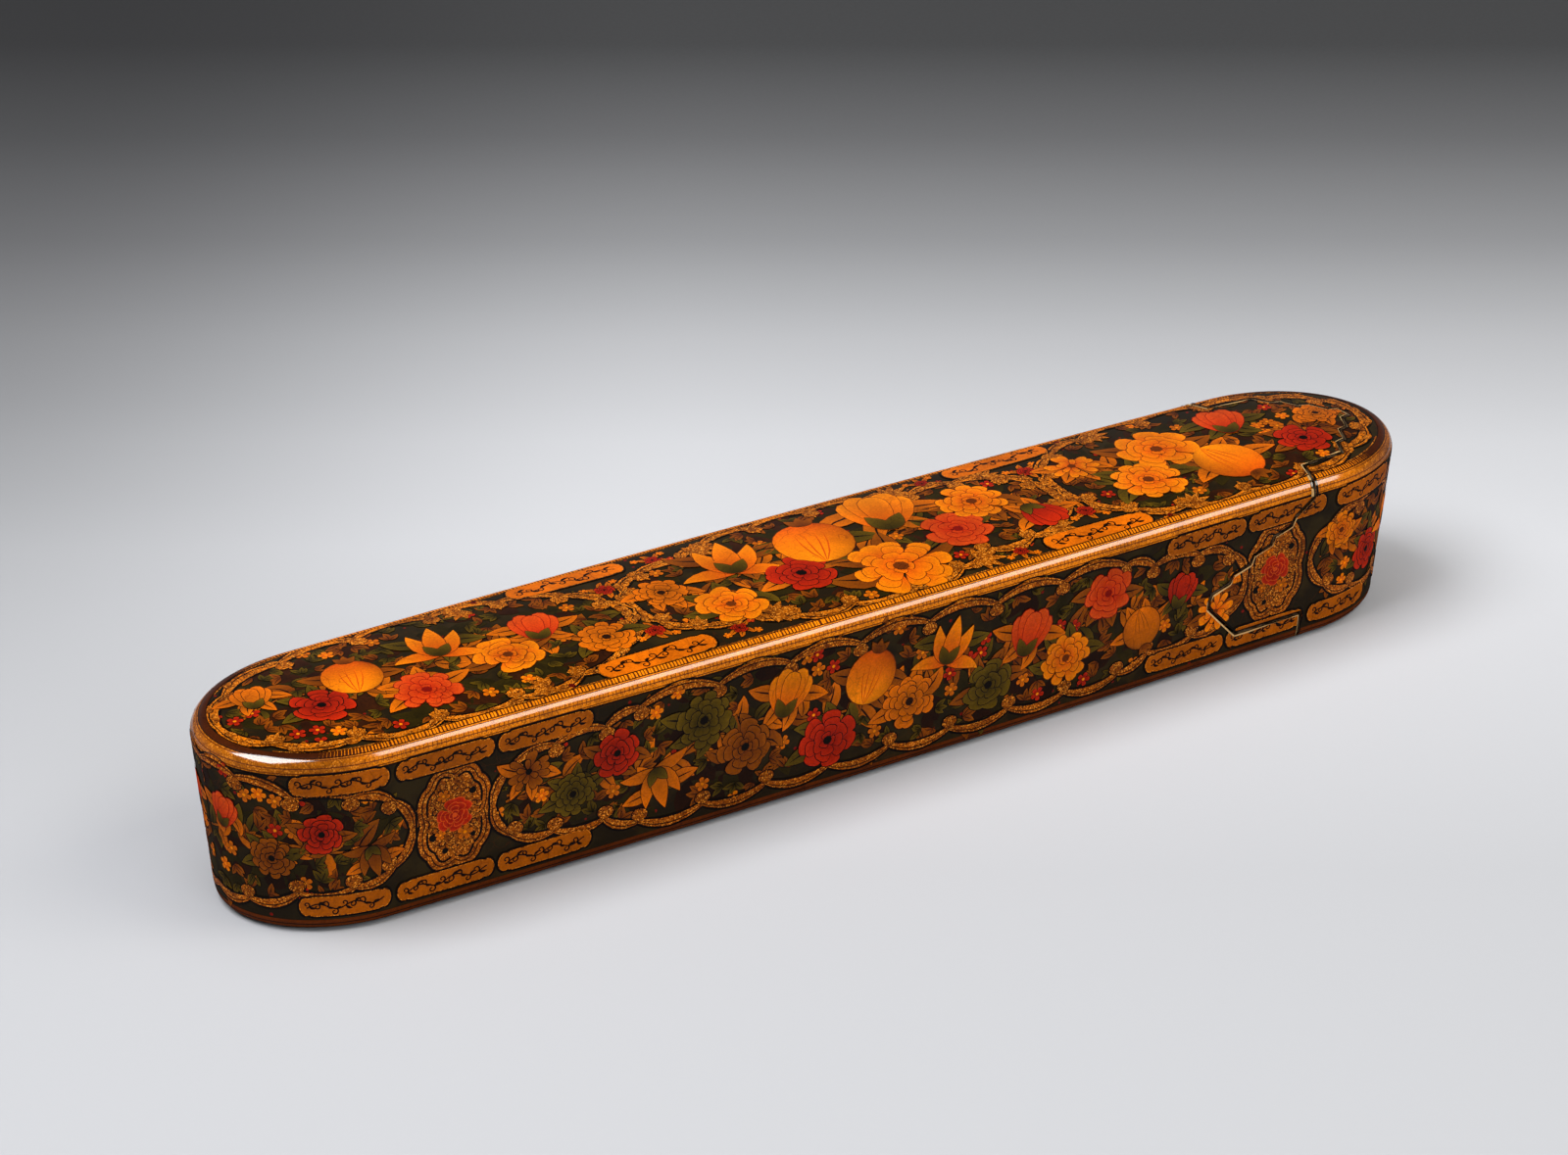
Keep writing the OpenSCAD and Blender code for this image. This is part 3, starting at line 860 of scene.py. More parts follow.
class Goldwork:
    """Gold frames, amber cartouches, medallions and border bands on a painting."""

    arc_steps = 12
    wind = np.linspace(0.0, 1.0, 22)

    def __init__(self, painting: Painting, seed: int) -> None:
        """Works on a painting, with its own seeded hand, in gold that is darker on the walls as painted
        shade.
        """
        self.on = painting
        self.hand = np.random.default_rng(seed)
        # The walls' gold is a darker copy of the roof's: painted shade for walls that take less light.
        self.gold = GOLD if painting.chart.roof else SHADED_GOLD
        self.leaf = Shade(OCHRE, self.gold, SOOT)

    def spiral(self, spot: Array, heading: Array, size: Values, hand: Values,
               turn: float = 8.4) -> Array:
        """Spirals that leave a spot and wind in: the radius falls evenly as the angle grows.

        Args:
            spot, heading: (n, 2) starts, and (n,) directions in which they leave.
            size: radius at the start.
            hand: 1 winds to the left, -1 to the right.
            turn: angle that they wind through.
        Returns:
            (n, m, 2) points.
        """
        size, hand = (np.broadcast_to(v, heading.shape) for v in (size, hand))
        middle = spot + size[:, None] * rays(heading + hand * QUARTER)
        angle = heading[:, None] + hand[:, None] * (self.wind * turn - QUARTER)
        radius = size[:, None] * (1.0 - 0.78 * self.wind)
        return middle[:, None] + radius[..., None] * rays(angle)

    def frame(self, nodes: list[Spot], bulge: float, width: float, leafy: bool) -> Array:
        """Gold frame of scrolls that swell between cusps and curl there, with leaves where it is leafy.

        Args:
            nodes: the cusps, with the panel on the left of the run.
            bulge: how far each scroll bows out.
            width: usual width of the gold band.
            leafy: True lays gold leaves along the band.
        Returns:
            the frame's path.
        """
        path = arcs(nodes, bulge, self.arc_steps)
        along = np.gradient(path, axis=0)
        step = np.arange(len(path))
        swell = width * (0.6 + 0.58 * np.abs(np.sin(step * math.pi / self.arc_steps)))
        vein = path - left_of(unit(along)) * swell[:, None] * 0.2
        self.on.stroke(path, swell + 0.85, SOOT, 0.118)
        self.on.stroke(path, swell * (1.0 + 0.05 * np.sin(step * 1.9)), self.gold, 0.13, 1.0)
        self.on.stroke(vein, 0.14 * swell, UMBER, 0.138)
        cusp = np.asarray(nodes, float)
        way = unit(np.diff(cusp, axis=0))
        heading = angles(way[1:] + way[:-1])
        cusp = cusp[1:-1]
        taper = 0.6 * width - 0.2 * width * self.wind
        for hand, lean in ((1.0, 0.35), (-1.0, math.pi - 0.35)):
            curl = self.spiral(cusp, heading + lean, 1.2, hand)
            self.on.stroke(curl, taper + 0.45, SOOT, 0.122)
            self.on.stroke(curl, taper, self.gold, 0.134, 1.0)
        gold = {"shade": self.leaf, "gilt": 1.0, "fine": False}
        for lean, size in ((0.0, 2.6), (0.66, 2.0), (-0.66, 2.0)):
            self.on.blades(cusp, heading + QUARTER + lean, size * width / 1.4, 0.55, 0.15, **gold)
        if leafy:
            flank = alternate(len(path[2::4]))
            flow = angles(along[2::4]) + flank * 0.75
            self.on.blades(path[2::4], flow, 2.9, 0.68, 0.144, bend=-flank * 1.1, **gold)
        return path

    def acanthus(self, spot: Spot, heading: float, size: float) -> None:
        """Fan of gold leaves that spring from a spot and curl outwards, the middle one the longest."""
        lean = np.linspace(-1.3, 1.3, 7)
        self.on.blades(np.array(spot), heading + lean, size * (1.0 - 0.24 * lean**2), 0.15 * size, 0.151,
                       self.leaf, bend=0.7 * lean, gilt=1.0, fine=False)

    def cartouche(self, middle: Spot, half: float, tall: float, fill: Pigment, slant: float = 0.0) -> None:
        """Long cartouche with rounded lobed ends, a dark edge and a thin dark vine along it.

        Args:
            middle: its middle.
            half, tall: half its length and half its height.
            fill: its paint.
            slant: its turn in radians.
        """
        spin = np.array([[math.cos(slant), math.sin(slant)], [-math.sin(slant), math.cos(slant)]])
        t = np.sin(np.linspace(-QUARTER, QUARTER, 41))
        end = np.clip((np.abs(t) - 0.8) / 0.2, 0.0, 1.0)
        rise = np.sqrt(1.0 - end**2) * (1.0 - 0.16 * np.exp(-((np.abs(t) - 0.8) / 0.05) ** 2))
        over = np.linspace(-1.0, 1.0, 5)
        for grow, lift, colour in ((0.5, 0.13, SOOT), (0.14, 0.142, GOLD), (0.0, 0.154, fill)):
            x = np.broadcast_to((t * (half + grow))[:, None], (41, 5))
            corners = np.stack([x, ((tall + grow) * rise)[:, None] * over], -1) @ spin + middle
            mottle = 1.0 - 0.22 * self.hand.random((41, 5, 1))
            self.on.lay(corners[None], (colour.linear() * mottle)[None], lift, float(colour is GOLD))
        pitch = 3.6 * tall

        def vine(x: Array) -> Array:
            """Points of the vine, a sine wave along the cartouche."""
            return np.stack([x, 0.3 * tall * np.sin(x * TURN / pitch)], 1) @ spin + middle

        self.on.stroke(vine(np.linspace(-0.86, 0.86, 90) * half), 0.26, SOOT, 0.164)
        root = vine(np.arange(-0.8 * half, 0.8 * half, pitch / 4))
        count = len(root)
        side = alternate(count)
        lean = slant + side * (0.35 + 0.5 * self.hand.random(count))
        tendril = self.spiral(root, lean, tall * (0.28 + 0.12 * self.hand.random(count)), side, 6.0)
        self.on.stroke(tendril, 0.3 - 0.12 * self.wind, SOOT, 0.166)
        turn = slant - side * (0.6 + 0.6 * self.hand.random(count))
        self.on.blades(root, turn, (0.6 + 0.35 * self.hand.random(count)) * tall, 0.15 * tall, 0.17,
                       Shade(SOOT, UMBER), bend=side * 1.2, fine=False)

    def medallion(self, middle: Spot, half: float, tall: float) -> None:
        """Lobed upright medallion: a gold edge of eight lobes round leaves, florets and scrolls of gold.

        Args:
            middle: its middle.
            half, tall: half its breadth and half its height.
        """
        spot, size = np.asarray(middle), np.array([half, tall])
        angle = np.linspace(0.0, TURN, 161)
        square = (np.abs(np.cos(angle)) ** 3 + np.abs(np.sin(angle)) ** 3) ** (-1 / 3)
        lobes = square * (0.9 + 0.1 * np.abs(np.sin(4 * angle)))
        ring = rays(angle) * lobes[:, None] * size
        plaque = spot + np.array([0.0, 1.0])[:, None, None] * ring
        self.on.lay(plaque[None], self.gold.linear(), 0.04, 1.0)
        for share, width, colour, lift in ((1.0, 2.3, SOOT, 0.05), (1.0, 1.45, self.gold, 0.065),
                                           (0.99, 0.22, UMBER, 0.072), (0.78, 0.3, self.gold, 0.06)):
            self.on.stroke(spot + ring * share, width, colour, lift, float(colour is self.gold))
        turn = np.arange(16) * TURN / 16
        curl = self.spiral(spot + rays(turn) * size * 0.55, turn + 0.6, 0.95, alternate(16), 7.5)
        self.on.stroke(curl, 0.4, self.gold, 0.066, 1.0)
        for count, near, far, broad in ((16, 0.62, 0.25, 0.09), (12, 0.42, 0.26, 0.11), (8, 0.3, 0.22, 0.12)):
            aim = rays(np.arange(count) * TURN / count + near) * size
            reach = np.linalg.norm(aim, axis=1)
            self.on.blades(spot + aim * near, angles(aim), far * reach, broad * reach, 0.075 + 0.01 * near,
                           self.leaf, bend=0.7 * alternate(count), gilt=1.0, fine=False)
        spots = spot + rays(np.arange(10) * TURN / 10 + 0.3) * size * 0.62
        self.on.dots(spots, 0.62, SOOT, 0.088)
        self.on.dots(spots, 0.45, self.gold, 0.094, 1.0)
        spots = spot + rays(np.array([0.7, 2.2, 3.6, 4.3, 5.6])) * size * 0.72
        self.on.dots(spots, np.array([0.7, 0.55, 0.8, 0.6, 0.5]), SOOT, 0.1)

    def rim(self) -> None:
        """Border bands along a wall: a gold rim with fine crossed hatching, and thin lines above the foot."""
        shell = self.on.chart.shell
        low_rim, top, reach = shell.shoulder, shell.rim_v, 108.0
        s = np.linspace(-shell.tip, shell.tip, 460)
        worn = 1.0 - 0.5 * np.clip((np.abs(s) - 94.0) / 12.0, 0.0, 1.0)
        bands = ((low_rim - 0.1, top + 0.05, UMBER, 0.03, 0.0),
                 (low_rim + 0.25, top - 1.5, HONEY, 0.045, 0.5),
                 (top - 1.35, top - 0.15, BROWN, 0.045, 0.0),
                 (0.55, 2.5, BROWN, 0.03, 0.0), (1.5, 1.75, UMBER, 0.045, 0.0))
        for low, high, pigment, lift, gilt in bands:
            corners = np.stack(np.meshgrid(s, np.linspace(low, high, 8), indexing="ij"), -1)
            mottle = 0.82 + 0.18 * self.hand.random((460, 8, 1))
            tone = worn[:, None, None] * mottle if low > low_rim - 1.0 else mottle
            self.on.lay(corners[None], (pigment.linear() * tone)[None], lift, gilt)
        for gap, low, high, width, pigment, lift in ((0.62, -1.32, -0.2, 0.36, HONEY, 0.058),
                                                     (0.8, -3.4, -2.5, 0.1, BROWN, 0.056)):
            start = np.arange(-reach, reach, gap)
            fading = np.clip((reach - np.abs(start)) / 16.0, 0.0, 1.0)[:, None]
            start = start + 0.05 * self.hand.standard_normal(len(start))
            v = np.linspace(top + low, top + high, 4)
            path = np.stack([start[:, None] + 0.15 * (v - v.mean()), np.broadcast_to(v, (len(start), 4))], -1)
            self.on.stroke(path, width * fading, pigment, lift)
        for rise in (0.5, 1.3, 2.6):
            self.on.stroke(level(s, low_rim + rise), 0.14, BROWN, 0.056)


class Bloom(Enum):
    """Flowers and fruit of the sprays."""

    ROSE = "rose"
    PEONY = "peony"
    DAISY = "daisy"
    TULIP = "tulip"
    LILY = "lily"
    QUINCE = "quince"


ROSE, PEONY, DAISY, TULIP, LILY, QUINCE = Bloom
Blooms = list[tuple[Bloom, float, Shade]]

# Rings of petals as (count, root, length, half-width), in shares of the flower's radius.
RINGS = {
    ROSE: ((7, 0.30, 0.72, 0.42), (6, 0.18, 0.58, 0.36), (5, 0.08, 0.44, 0.28), (3, 0.0, 0.28, 0.2)),
    PEONY: ((10, 0.34, 0.66, 0.28), (8, 0.22, 0.56, 0.26), (7, 0.1, 0.44, 0.22), (4, 0.0, 0.26, 0.16)),
    DAISY: ((11, 0.2, 0.8, 0.2), (7, 0.06, 0.5, 0.15)),
}
# Petals seen from the side as (heading, length, half-width, bend), in shares of the flower's radius.
FANS = {
    TULIP: ((-0.75, 1.7, 0.36, 0.8), (0.75, 1.7, 0.36, -0.8), (-0.3, 1.85, 0.4, 0.25),
            (0.3, 1.85, 0.4, -0.25), (0.0, 1.7, 0.42, 0.0)),
    LILY: ((-1.25, 1.5, 0.26, -0.9), (1.25, 1.5, 0.26, 0.9), (-0.7, 1.7, 0.3, 0.5), (0.7, 1.7, 0.3, -0.5),
           (0.0, 1.9, 0.34, 0.0)),
}


class Garden:
    """Flower sprays on a painting."""

    def __init__(self, painting: Painting, seed: int) -> None:
        """Works on a painting, with its own seeded hand."""
        self.on = painting
        self.hand = np.random.default_rng(seed)

    def flower(self, bloom: Bloom, spot: Array, size: float, turn: float, shade: Shade, lift: float,
               fine: bool = True) -> None:
        """One flower or fruit: rings of petals, a fan of petals, or a round body with a crown.

        Args:
            bloom: what it is.
            spot, size, turn: its middle, radius and heading.
            shade: its colours.
            lift: height of its lowest petals above the face.
            fine: False for a small one.
        """
        inner, outer = shade.ends()
        way = rays(turn)
        if bloom in RINGS:
            for number, (count, root, length, width) in enumerate(RINGS[bloom]):
                turns = turn + (np.arange(count) + 0.5 * (number % 2)) * TURN / count
                turns = turns + 0.12 * self.hand.standard_normal(count)
                reach = length * size * (0.92 + 0.16 * self.hand.random(count))
                deep = replace(shade, outer=outer + 0.16 * number * (inner - outer))
                self.on.blades(spot + root * size * rays(turns), turns, reach, width * size,
                               lift + 0.013 * number, deep, Form.PETAL,
                               bend=0.3 * self.hand.standard_normal(count), fine=fine)
            self.on.dots(spot[None], 0.16 * size, shade.line, lift + 0.055)
        elif bloom in FANS:
            root = spot - 0.9 * size * way
            form = Form.PETAL if bloom is TULIP else Form.LEAF
            for number, (lean, length, width, bend) in enumerate(FANS[bloom]):
                self.on.blades(root, np.array([turn + lean]), length * size, width * size,
                               lift + 0.009 * number, shade, form, bend=bend, fine=fine)
            self.on.blades(root, turn + np.array([-0.5, 0.5]), 0.8 * size, 0.2 * size, lift + 0.05,
                           replace(GREEN, line=shade.line), fine=fine)
        else:
            root, top = spot - size * way, spot + 0.86 * size * way
            self.on.blades(root, np.array([turn]), 2 * size, 0.92 * size, lift,
                           Shade(shade.outer, shade.inner, shade.line), Form.ROUND, fine=fine)
            ribs = np.array([-0.5, -0.2, 0.2, 0.5])
            self.on.blades(root, turn + ribs, 1.5 * size, 0.02 * size, lift + 0.01,
                           Shade(shade.inner, shade.inner), bend=-1.1 * ribs, fine=False)
            self.on.blades(top, turn + np.array([-0.7, 0.7, 0.0]), 0.5 * size, 0.12 * size, lift + 0.024,
                           replace(TAWNY, line=shade.line), fine=fine)

    def leaves(self, root: Array, turn: Array, length: Array, shade: Shade, lift: float,
               fine: bool = True) -> None:
        """Leaves with a thin rib along the middle.

        Args:
            root, turn, length: (n, 2) roots, (n,) headings and (n,) lengths.
            shade: their colours.
            lift: height above the face.
            fine: False for small ones.
        """
        if len(root) == 0:
            return
        bend = 0.7 * self.hand.standard_normal(len(root))
        self.on.blades(root, turn, length, 0.24 * length, lift, shade, bend=bend, fine=fine)
        self.on.blades(root, turn, 0.86 * length, 0.028 * length, lift + 0.006, Shade(shade.line, shade.line),
                       bend=bend, fine=False)

    def spray(self, region: Array, start: Spot, end: Spot, wave: float, cycles: float,
              blooms: Blooms) -> None:
        """Winding stem with flowers on alternate sides, leaves along it and small sprigs in the gaps.

        The stem is a straight run with a sine wave across it. Sprigs stand on a jittered grid.

        Args:
            region: closed outline that leaves and sprigs stay within.
            start, end: the stem's ends.
            wave, cycles: how far the stem swings, and how many waves it makes.
            blooms: flowers in order along the stem, each with its radius and colours.
        """
        first, run = np.asarray(start), np.asarray(end) - np.asarray(start)
        size = np.linalg.norm(run)
        along = run / size
        aside = left_of(along)

        def stem(t: Array) -> Array:
            """Points of the stem at shares of its run."""
            return first + t[:, None] * run + wave * np.sin(TURN * cycles * t)[:, None] * aside

        count = len(blooms)
        radius = np.array([bloom[1] for bloom in blooms])
        side = alternate(count)
        knots = stem((np.arange(count) + 0.5) / count)
        spots = knots + (side * 0.9 * radius)[:, None] * aside
        lead = float(angles(along))
        self.backdrop(region)
        line = stem(np.linspace(0.0, 1.0, 120))
        self.on.stroke(line, 0.8, SOOT, 0.055)
        self.on.stroke(line, 0.42, OCHRE, 0.061)
        t = np.linspace(0.0, 1.0, 10)[None, :, None]
        away = knots - 4.0 * along
        curve = away[:, None] * (1 - t) ** 2 + 2 * t * (1 - t) * knots[:, None] + t**2 * spots[:, None]
        self.on.stroke(curve, 0.4, OCHRE, 0.063)
        root = stem(np.arange(0.01, 0.99, 2.3 / size))
        total = len(root)
        turn = lead + alternate(total) * (0.75 + 0.5 * self.hand.random(total))
        length = 4.2 + 3.4 * self.hand.random(total)
        kind = self.hand.permutation(np.arange(total) % 4)
        keep = inside(root + length[:, None] * rays(turn), region)
        for number, shade in enumerate((GREEN, TAWNY, GOLDEN, GOLDEN)):
            use = keep & (kind == number)
            self.leaves(root[use], turn[use], length[use], shade, 0.07 + 0.008 * number)
        self.sprigs(region, spots, radius)
        for number, (bloom, r, shade) in enumerate(blooms):
            heading = lead + side[number] * (QUARTER - 0.25)
            pair = heading + QUARTER * np.array([-1.0, 1.0, 1.7, -1.7])
            self.leaves(spots[number] + 0.35 * r * rays(pair), pair, r * np.array([1.25, 1.3, 1.1, 1.15]),
                        (GOLDEN, GREEN, TAWNY)[number % 3], 0.152)
            self.flower(bloom, spots[number], r, heading, shade, 0.166 + 0.002 * (number % 5))

    def backdrop(self, region: Array) -> None:
        """Large dim leaves close to the ground's own colour, for depth behind a spray; warmer on the roof.

        Args:
            region: closed outline that they stay within.
        """
        umber = UMBER.linear() * (2.4 if self.on.chart.roof else 1.3)
        low, high = region.min(0), region.max(0)
        spots = low + (high - low) * self.hand.random((int(np.prod(high - low) / 12), 2))
        turn = self.hand.uniform(0.0, TURN, len(spots))
        length = self.hand.uniform(4.0, 8.0, len(spots))
        keep = inside(spots + length[:, None] * rays(turn), region) & inside(spots, region)
        spots, turn, length = spots[keep], turn[keep], length[keep]
        lift = 0.034 + 0.012 * self.hand.random(len(spots))
        tone = np.where(self.hand.random((len(spots), 1)) < 0.5, MOSS.linear(), umber)
        self.on.blades(spots, turn, length, 0.26 * length, lift, Shade(tone * 0.5, tone),
                       bend=0.8 * self.hand.standard_normal(len(spots)), fine=False)

    def sprigs(self, region: Array, spots: Array, radius: Array) -> None:
        """Small florets, buds and leaf tufts in the gaps that the flowers leave.

        Args:
            region: closed outline that they stay within.
            spots, radius: (n, 2) middles and (n,) radii of the flowers.
        """
        low, high = region.min(0), region.max(0)
        pitch, clearance = 3.1, 0.9
        grid = np.stack(np.meshgrid(np.arange(low[0], high[0], pitch), np.arange(low[1], high[1], pitch)), -1)
        grid = grid.reshape(-1, 2) + self.hand.uniform(-0.8, 0.8, (grid.size // 2, 2))
        clear = (np.linalg.norm(grid[:, None] - spots, axis=2) > radius + clearance).all(1)
        grid = grid[clear & inside(grid, region)]
        kind = self.hand.integers(0, 15, len(grid))
        turn = self.hand.uniform(0.0, TURN, len(grid))
        for number, shade in enumerate((TAWNY, GREEN, TAWNY)):
            use = (kind < 11) & (kind % 3 == number)
            for lean in (-0.75, 0.0, 0.75):
                length = self.hand.uniform(1.9, 3.2, int(use.sum()))
                self.leaves(grid[use], turn[use] + lean, length, shade, 0.096 + 0.004 * number, fine=False)
        for number, shade in ((11, RED), (12, GOLDEN), (13, AMBER)):
            for spot in grid[kind == number]:
                self.floret(spot, 1.4, shade, 0.112)

    def floret(self, spot: Array, size: float, shade: Shade, lift: float) -> None:
        """Small flower of five petals with a dot in the middle.

        Args:
            spot, size: its middle and radius.
            shade, lift: its colours and its height above the face.
        """
        way = self.hand.uniform(0.0, 6.0) + np.arange(5) * TURN / 5
        self.on.blades(spot, way, size, 0.42 * size, lift, shade, Form.PETAL, fine=False)
        self.on.dots(spot[None], 0.22 * size, HONEY, lift + 0.008)

    def posy(self, spot: Spot, size: float) -> None:
        """Red rose with leaves and florets round it, for a small space between panels.

        Args:
            spot, size: the rose's middle and radius.
        """
        middle = np.asarray(spot)
        way = np.arange(6) * TURN / 6 + 0.4
        ring = rays(way)
        self.leaves(middle + 0.5 * size * ring, way, np.full(6, 1.5 * size), GOLDEN, 0.1, fine=False)
        for place in (0, 2, 3, 5):
            self.floret(middle + 2.15 * size * ring[place], 0.5 * size, AMBER if place % 2 else PINK, 0.115)
        self.flower(ROSE, middle, size, 0.3, RED, 0.13, fine=False)


def rgba(pigment: Pigment | Triple, strength: float = 1.0) -> tuple[float, ...]:
    """Colour for a socket, with full alpha."""
    channels = pigment.linear() if isinstance(pigment, Pigment) else np.asarray(pigment)
    return tuple(float(c) * strength for c in channels) + (1.0,)


class Nodes:
    """Node tree that is written in few words. A value is a socket to link or a constant to set."""

    def __init__(self, tree: bpy.types.NodeTree) -> None:
        """Starts from an empty tree."""
        self.tree = tree
        tree.nodes.clear()

    def fill(self, node: bpy.types.Node, inputs: dict) -> None:
        """Links or sets inputs of a node.

        Args:
            node: the node.
            inputs: values by the input's name or number.
        """
        for key, value in inputs.items():
            if isinstance(value, Socket):
                self.tree.links.new(value, node.inputs[key])
            else:
                node.inputs[key].default_value = value

    def add(self, kind: str, inputs: dict | None = None, **settings: object) -> bpy.types.Node:
        """New node.

        Args:
            kind: the node's type, without the word ShaderNode.
            inputs: values by the input's name or number.
            settings: the node's own properties.
        Returns:
            the node.
        """
        node = self.tree.nodes.new(kind if kind.startswith("Node") else f"ShaderNode{kind}")
        for key, value in settings.items():
            setattr(node, key, value)
        self.fill(node, inputs or {})
        return node

    @property
    def where(self) -> Socket:
        """Coordinates of the object itself."""
        return self.add("TexCoord").outputs["Object"]

    def math(self, operation: str, first: object, second: object) -> Socket:
        """Result of the Math node's operation on two values."""
        return self.add("Math", {0: first, 1: second}, operation=operation).outputs[0]

    def times(self, first: object, second: object) -> Socket:
        """Product of two values."""
        return self.math("MULTIPLY", first, second)

    def mix(self, share: object, first: object, second: object, blend: str = "MIX") -> Socket:
        """Colour that is the first where the share is 0 and the second where it is 1."""
        node = self.add("Mix", {0: share, 6: first, 7: second}, data_type="RGBA", blend_type=blend)
        return node.outputs[2]

    def stain(self, colour: Socket, by: object) -> Socket:
        """Colour multiplied by another."""
        return self.mix(1.0, colour, by, "MULTIPLY")

    def grey(self, value: Socket) -> Socket:
        """Grey of a value."""
        return self.add("CombineColor", {i: value for i in range(3)}).outputs[0]

    def channel(self, colour: Socket, number: int) -> Socket:
        """One of a colour's three channels."""
        return self.add("SeparateColor", {0: colour}).outputs[number]

    def span(self, value: Socket, low: float, high: float, first: float = 0.0, last: float = 1.0) -> Socket:
        """Value carried smoothly from one range to another.

        Args:
            value: the value.
            low, high: the old range.
            first, last: the new range.
        Returns:
            the output socket.
        """
        inputs = {"Value": value, "From Min": low, "From Max": high, "To Min": first, "To Max": last}
        return self.add("MapRange", inputs, interpolation_type="SMOOTHSTEP").outputs[0]

    def noise(self, scale: float, detail: float = 3.0, rough: float = 0.55,
              stretch: Triple | None = None) -> Socket:
        """Noise from 0 to 1 over the object.

        Args:
            scale: cells to a metre.
            detail: layers of finer noise.
            rough: strength of the finer layers.
            stretch: scale along each axis, or None for the same along all.
        Returns:
            the output socket.
        """
        where = self.add("Mapping", {0: self.where, 3: stretch}).outputs[0] if stretch else self.where
        inputs = {"Vector": where, "Scale": scale, "Detail": detail, "Roughness": rough}
        return self.add("TexNoise", inputs).outputs[0]


def group(name: str, inputs: tuple[str, ...], **outputs: str) -> tuple[Nodes, bpy.types.Node]:
    """Empty node group with its sockets, for an effect that several finishes share.

    Args:
        name: the group's name.
        inputs: names of colour inputs.
        outputs: the outputs' names and kinds.
    Returns:
        the node writer and the node that holds the inputs.
    """
    tree = bpy.data.node_groups.new(name, "ShaderNodeTree")
    for given in inputs:
        tree.interface.new_socket(given, in_out="INPUT", socket_type="NodeSocketColor")
    for made, kind in outputs.items():
        tree.interface.new_socket(made, in_out="OUTPUT", socket_type=f"NodeSocket{kind}")
    nodes = Nodes(tree)
    return nodes, nodes.add("NodeGroupInput")


@cache
def ageing() -> bpy.types.NodeTree:
    """Uneven varnish: slow changes of tone, hair cracks that come and go, and fine brush grain."""
    nodes, _ = group("ageing", (), Tone="Float", Crack="Float", Grain="Float")
    slow, shift = nodes.noise(95.0, 4.0), nodes.noise(420.0)
    push = nodes.add("CombineXYZ", {0: nodes.times(shift, 0.0016), 1: nodes.times(slow, 0.002),
                                    2: nodes.times(shift, -0.0014)}).outputs[0]
    bent = nodes.add("VectorMath", {0: nodes.where, 1: push}, operation="ADD").outputs[0]
    cells = nodes.add("TexVoronoi", {"Vector": bent, "Scale": 330.0}, feature="DISTANCE_TO_EDGE").outputs[0]
    patchy = nodes.span(nodes.noise(150.0, 2.0), 0.46, 0.62)
    nodes.add("NodeGroupOutput", {"Tone": nodes.span(slow, 0.3, 0.7, 0.72, 1.08),
                                  "Crack": nodes.times(nodes.span(cells, 0.0, 0.035, 1.0, 0.0), patchy),
                                  "Grain": nodes.noise(2600.0, 2.0)})
    return nodes.tree


@cache
def gilding() -> bpy.types.NodeTree:
    """Powdered gold: grains on a dark amber bed, worn through in places, the brightest of them pale yellow as
    painted glints.
    """
    nodes, ends = group("gilding", ("Color",), Color="Color", Roughness="Float")
    grains = nodes.add("TexVoronoi", {"Vector": nodes.where, "Scale": 5200.0}).outputs["Color"]
    worn = nodes.span(nodes.noise(520.0), 0.3, 0.5, 0.35, 1.0)
    share = nodes.times(nodes.span(nodes.channel(grains, 0), 0.05, 0.62), worn)
    colour = nodes.mix(share, rgba(BROWN, 0.65), ends.outputs["Color"])
    # Painted glints: a few grains turned pale yellow.
    painted_glint = nodes.math("GREATER_THAN", nodes.channel(grains, 1), 0.84)
    colour = nodes.mix(nodes.times(painted_glint, worn), colour, rgba((1.0, 0.4, 0.05)))
    nodes.add("NodeGroupOutput", {"Color": colour, "Roughness": nodes.span(share, 0.0, 1.0, 0.5, 0.28)})
    return nodes.tree


class Finish(Nodes):
    """Material written as nodes round one Principled shader."""

    def __init__(self, name: str, **constants: float) -> None:
        """Starts the material.

        Args:
            name: the material's name.
            constants: values for the shader's sockets, with spaces written as underscores.
        """
        self.material = bpy.data.materials.new(name)
        self.material.use_nodes = True
        super().__init__(self.material.node_tree)
        self.shader = self.add("BsdfPrincipled", {key.replace("_", " "): v for key, v in constants.items()})
        self.add("OutputMaterial", {"Surface": self.shader.outputs[0]})

    def done(self, colour: Socket, rough: object, height: Socket, strength: float, distance: float,
             metal: object = 0.0) -> Material:
        """Gives the shader its surface.

        Args:
            colour, rough, metal: its colour, its roughness and how far it is metal.
            height, strength, distance: relief, strength and depth of its bump.
        Returns:
            the material.
        """
        bump = self.add("Bump", {"Height": height, "Strength": strength, "Distance": distance}).outputs[0]
        self.fill(self.shader, {"Base Color": colour, "Roughness": rough, "Metallic": metal, "Normal": bump})
        return self.material


class Varnished(Finish):
    """Finish under the box's amber varnish, which is thickest on the rim and rubbed thin on the sides."""

    def __init__(self, name: str) -> None:
        """Starts the material with its varnish and its age."""
        super().__init__(name, Coat_Roughness=0.11, Coat_IOR=1.9, Specular_IOR_Level=0.0)
        self.age = self.add("Group", node_tree=ageing())
        height = self.add("SeparateXYZ", {0: self.where}).outputs[2]
        sides, roof = self.span(height, 0.031, 0.032, 0.06, 1.0), self.span(height, 0.033, 0.0335, 1.0, 0.6)
        self.fill(self.shader, {"Coat Weight": self.times(sides, roof)})

    def varnish(self, colour: Socket, rough: object, metal: object = 0.0) -> Material:
        """The material, with brush grain in its varnish."""
        return self.done(colour, rough, self.age.outputs["Grain"], 0.08, 0.0002, metal)


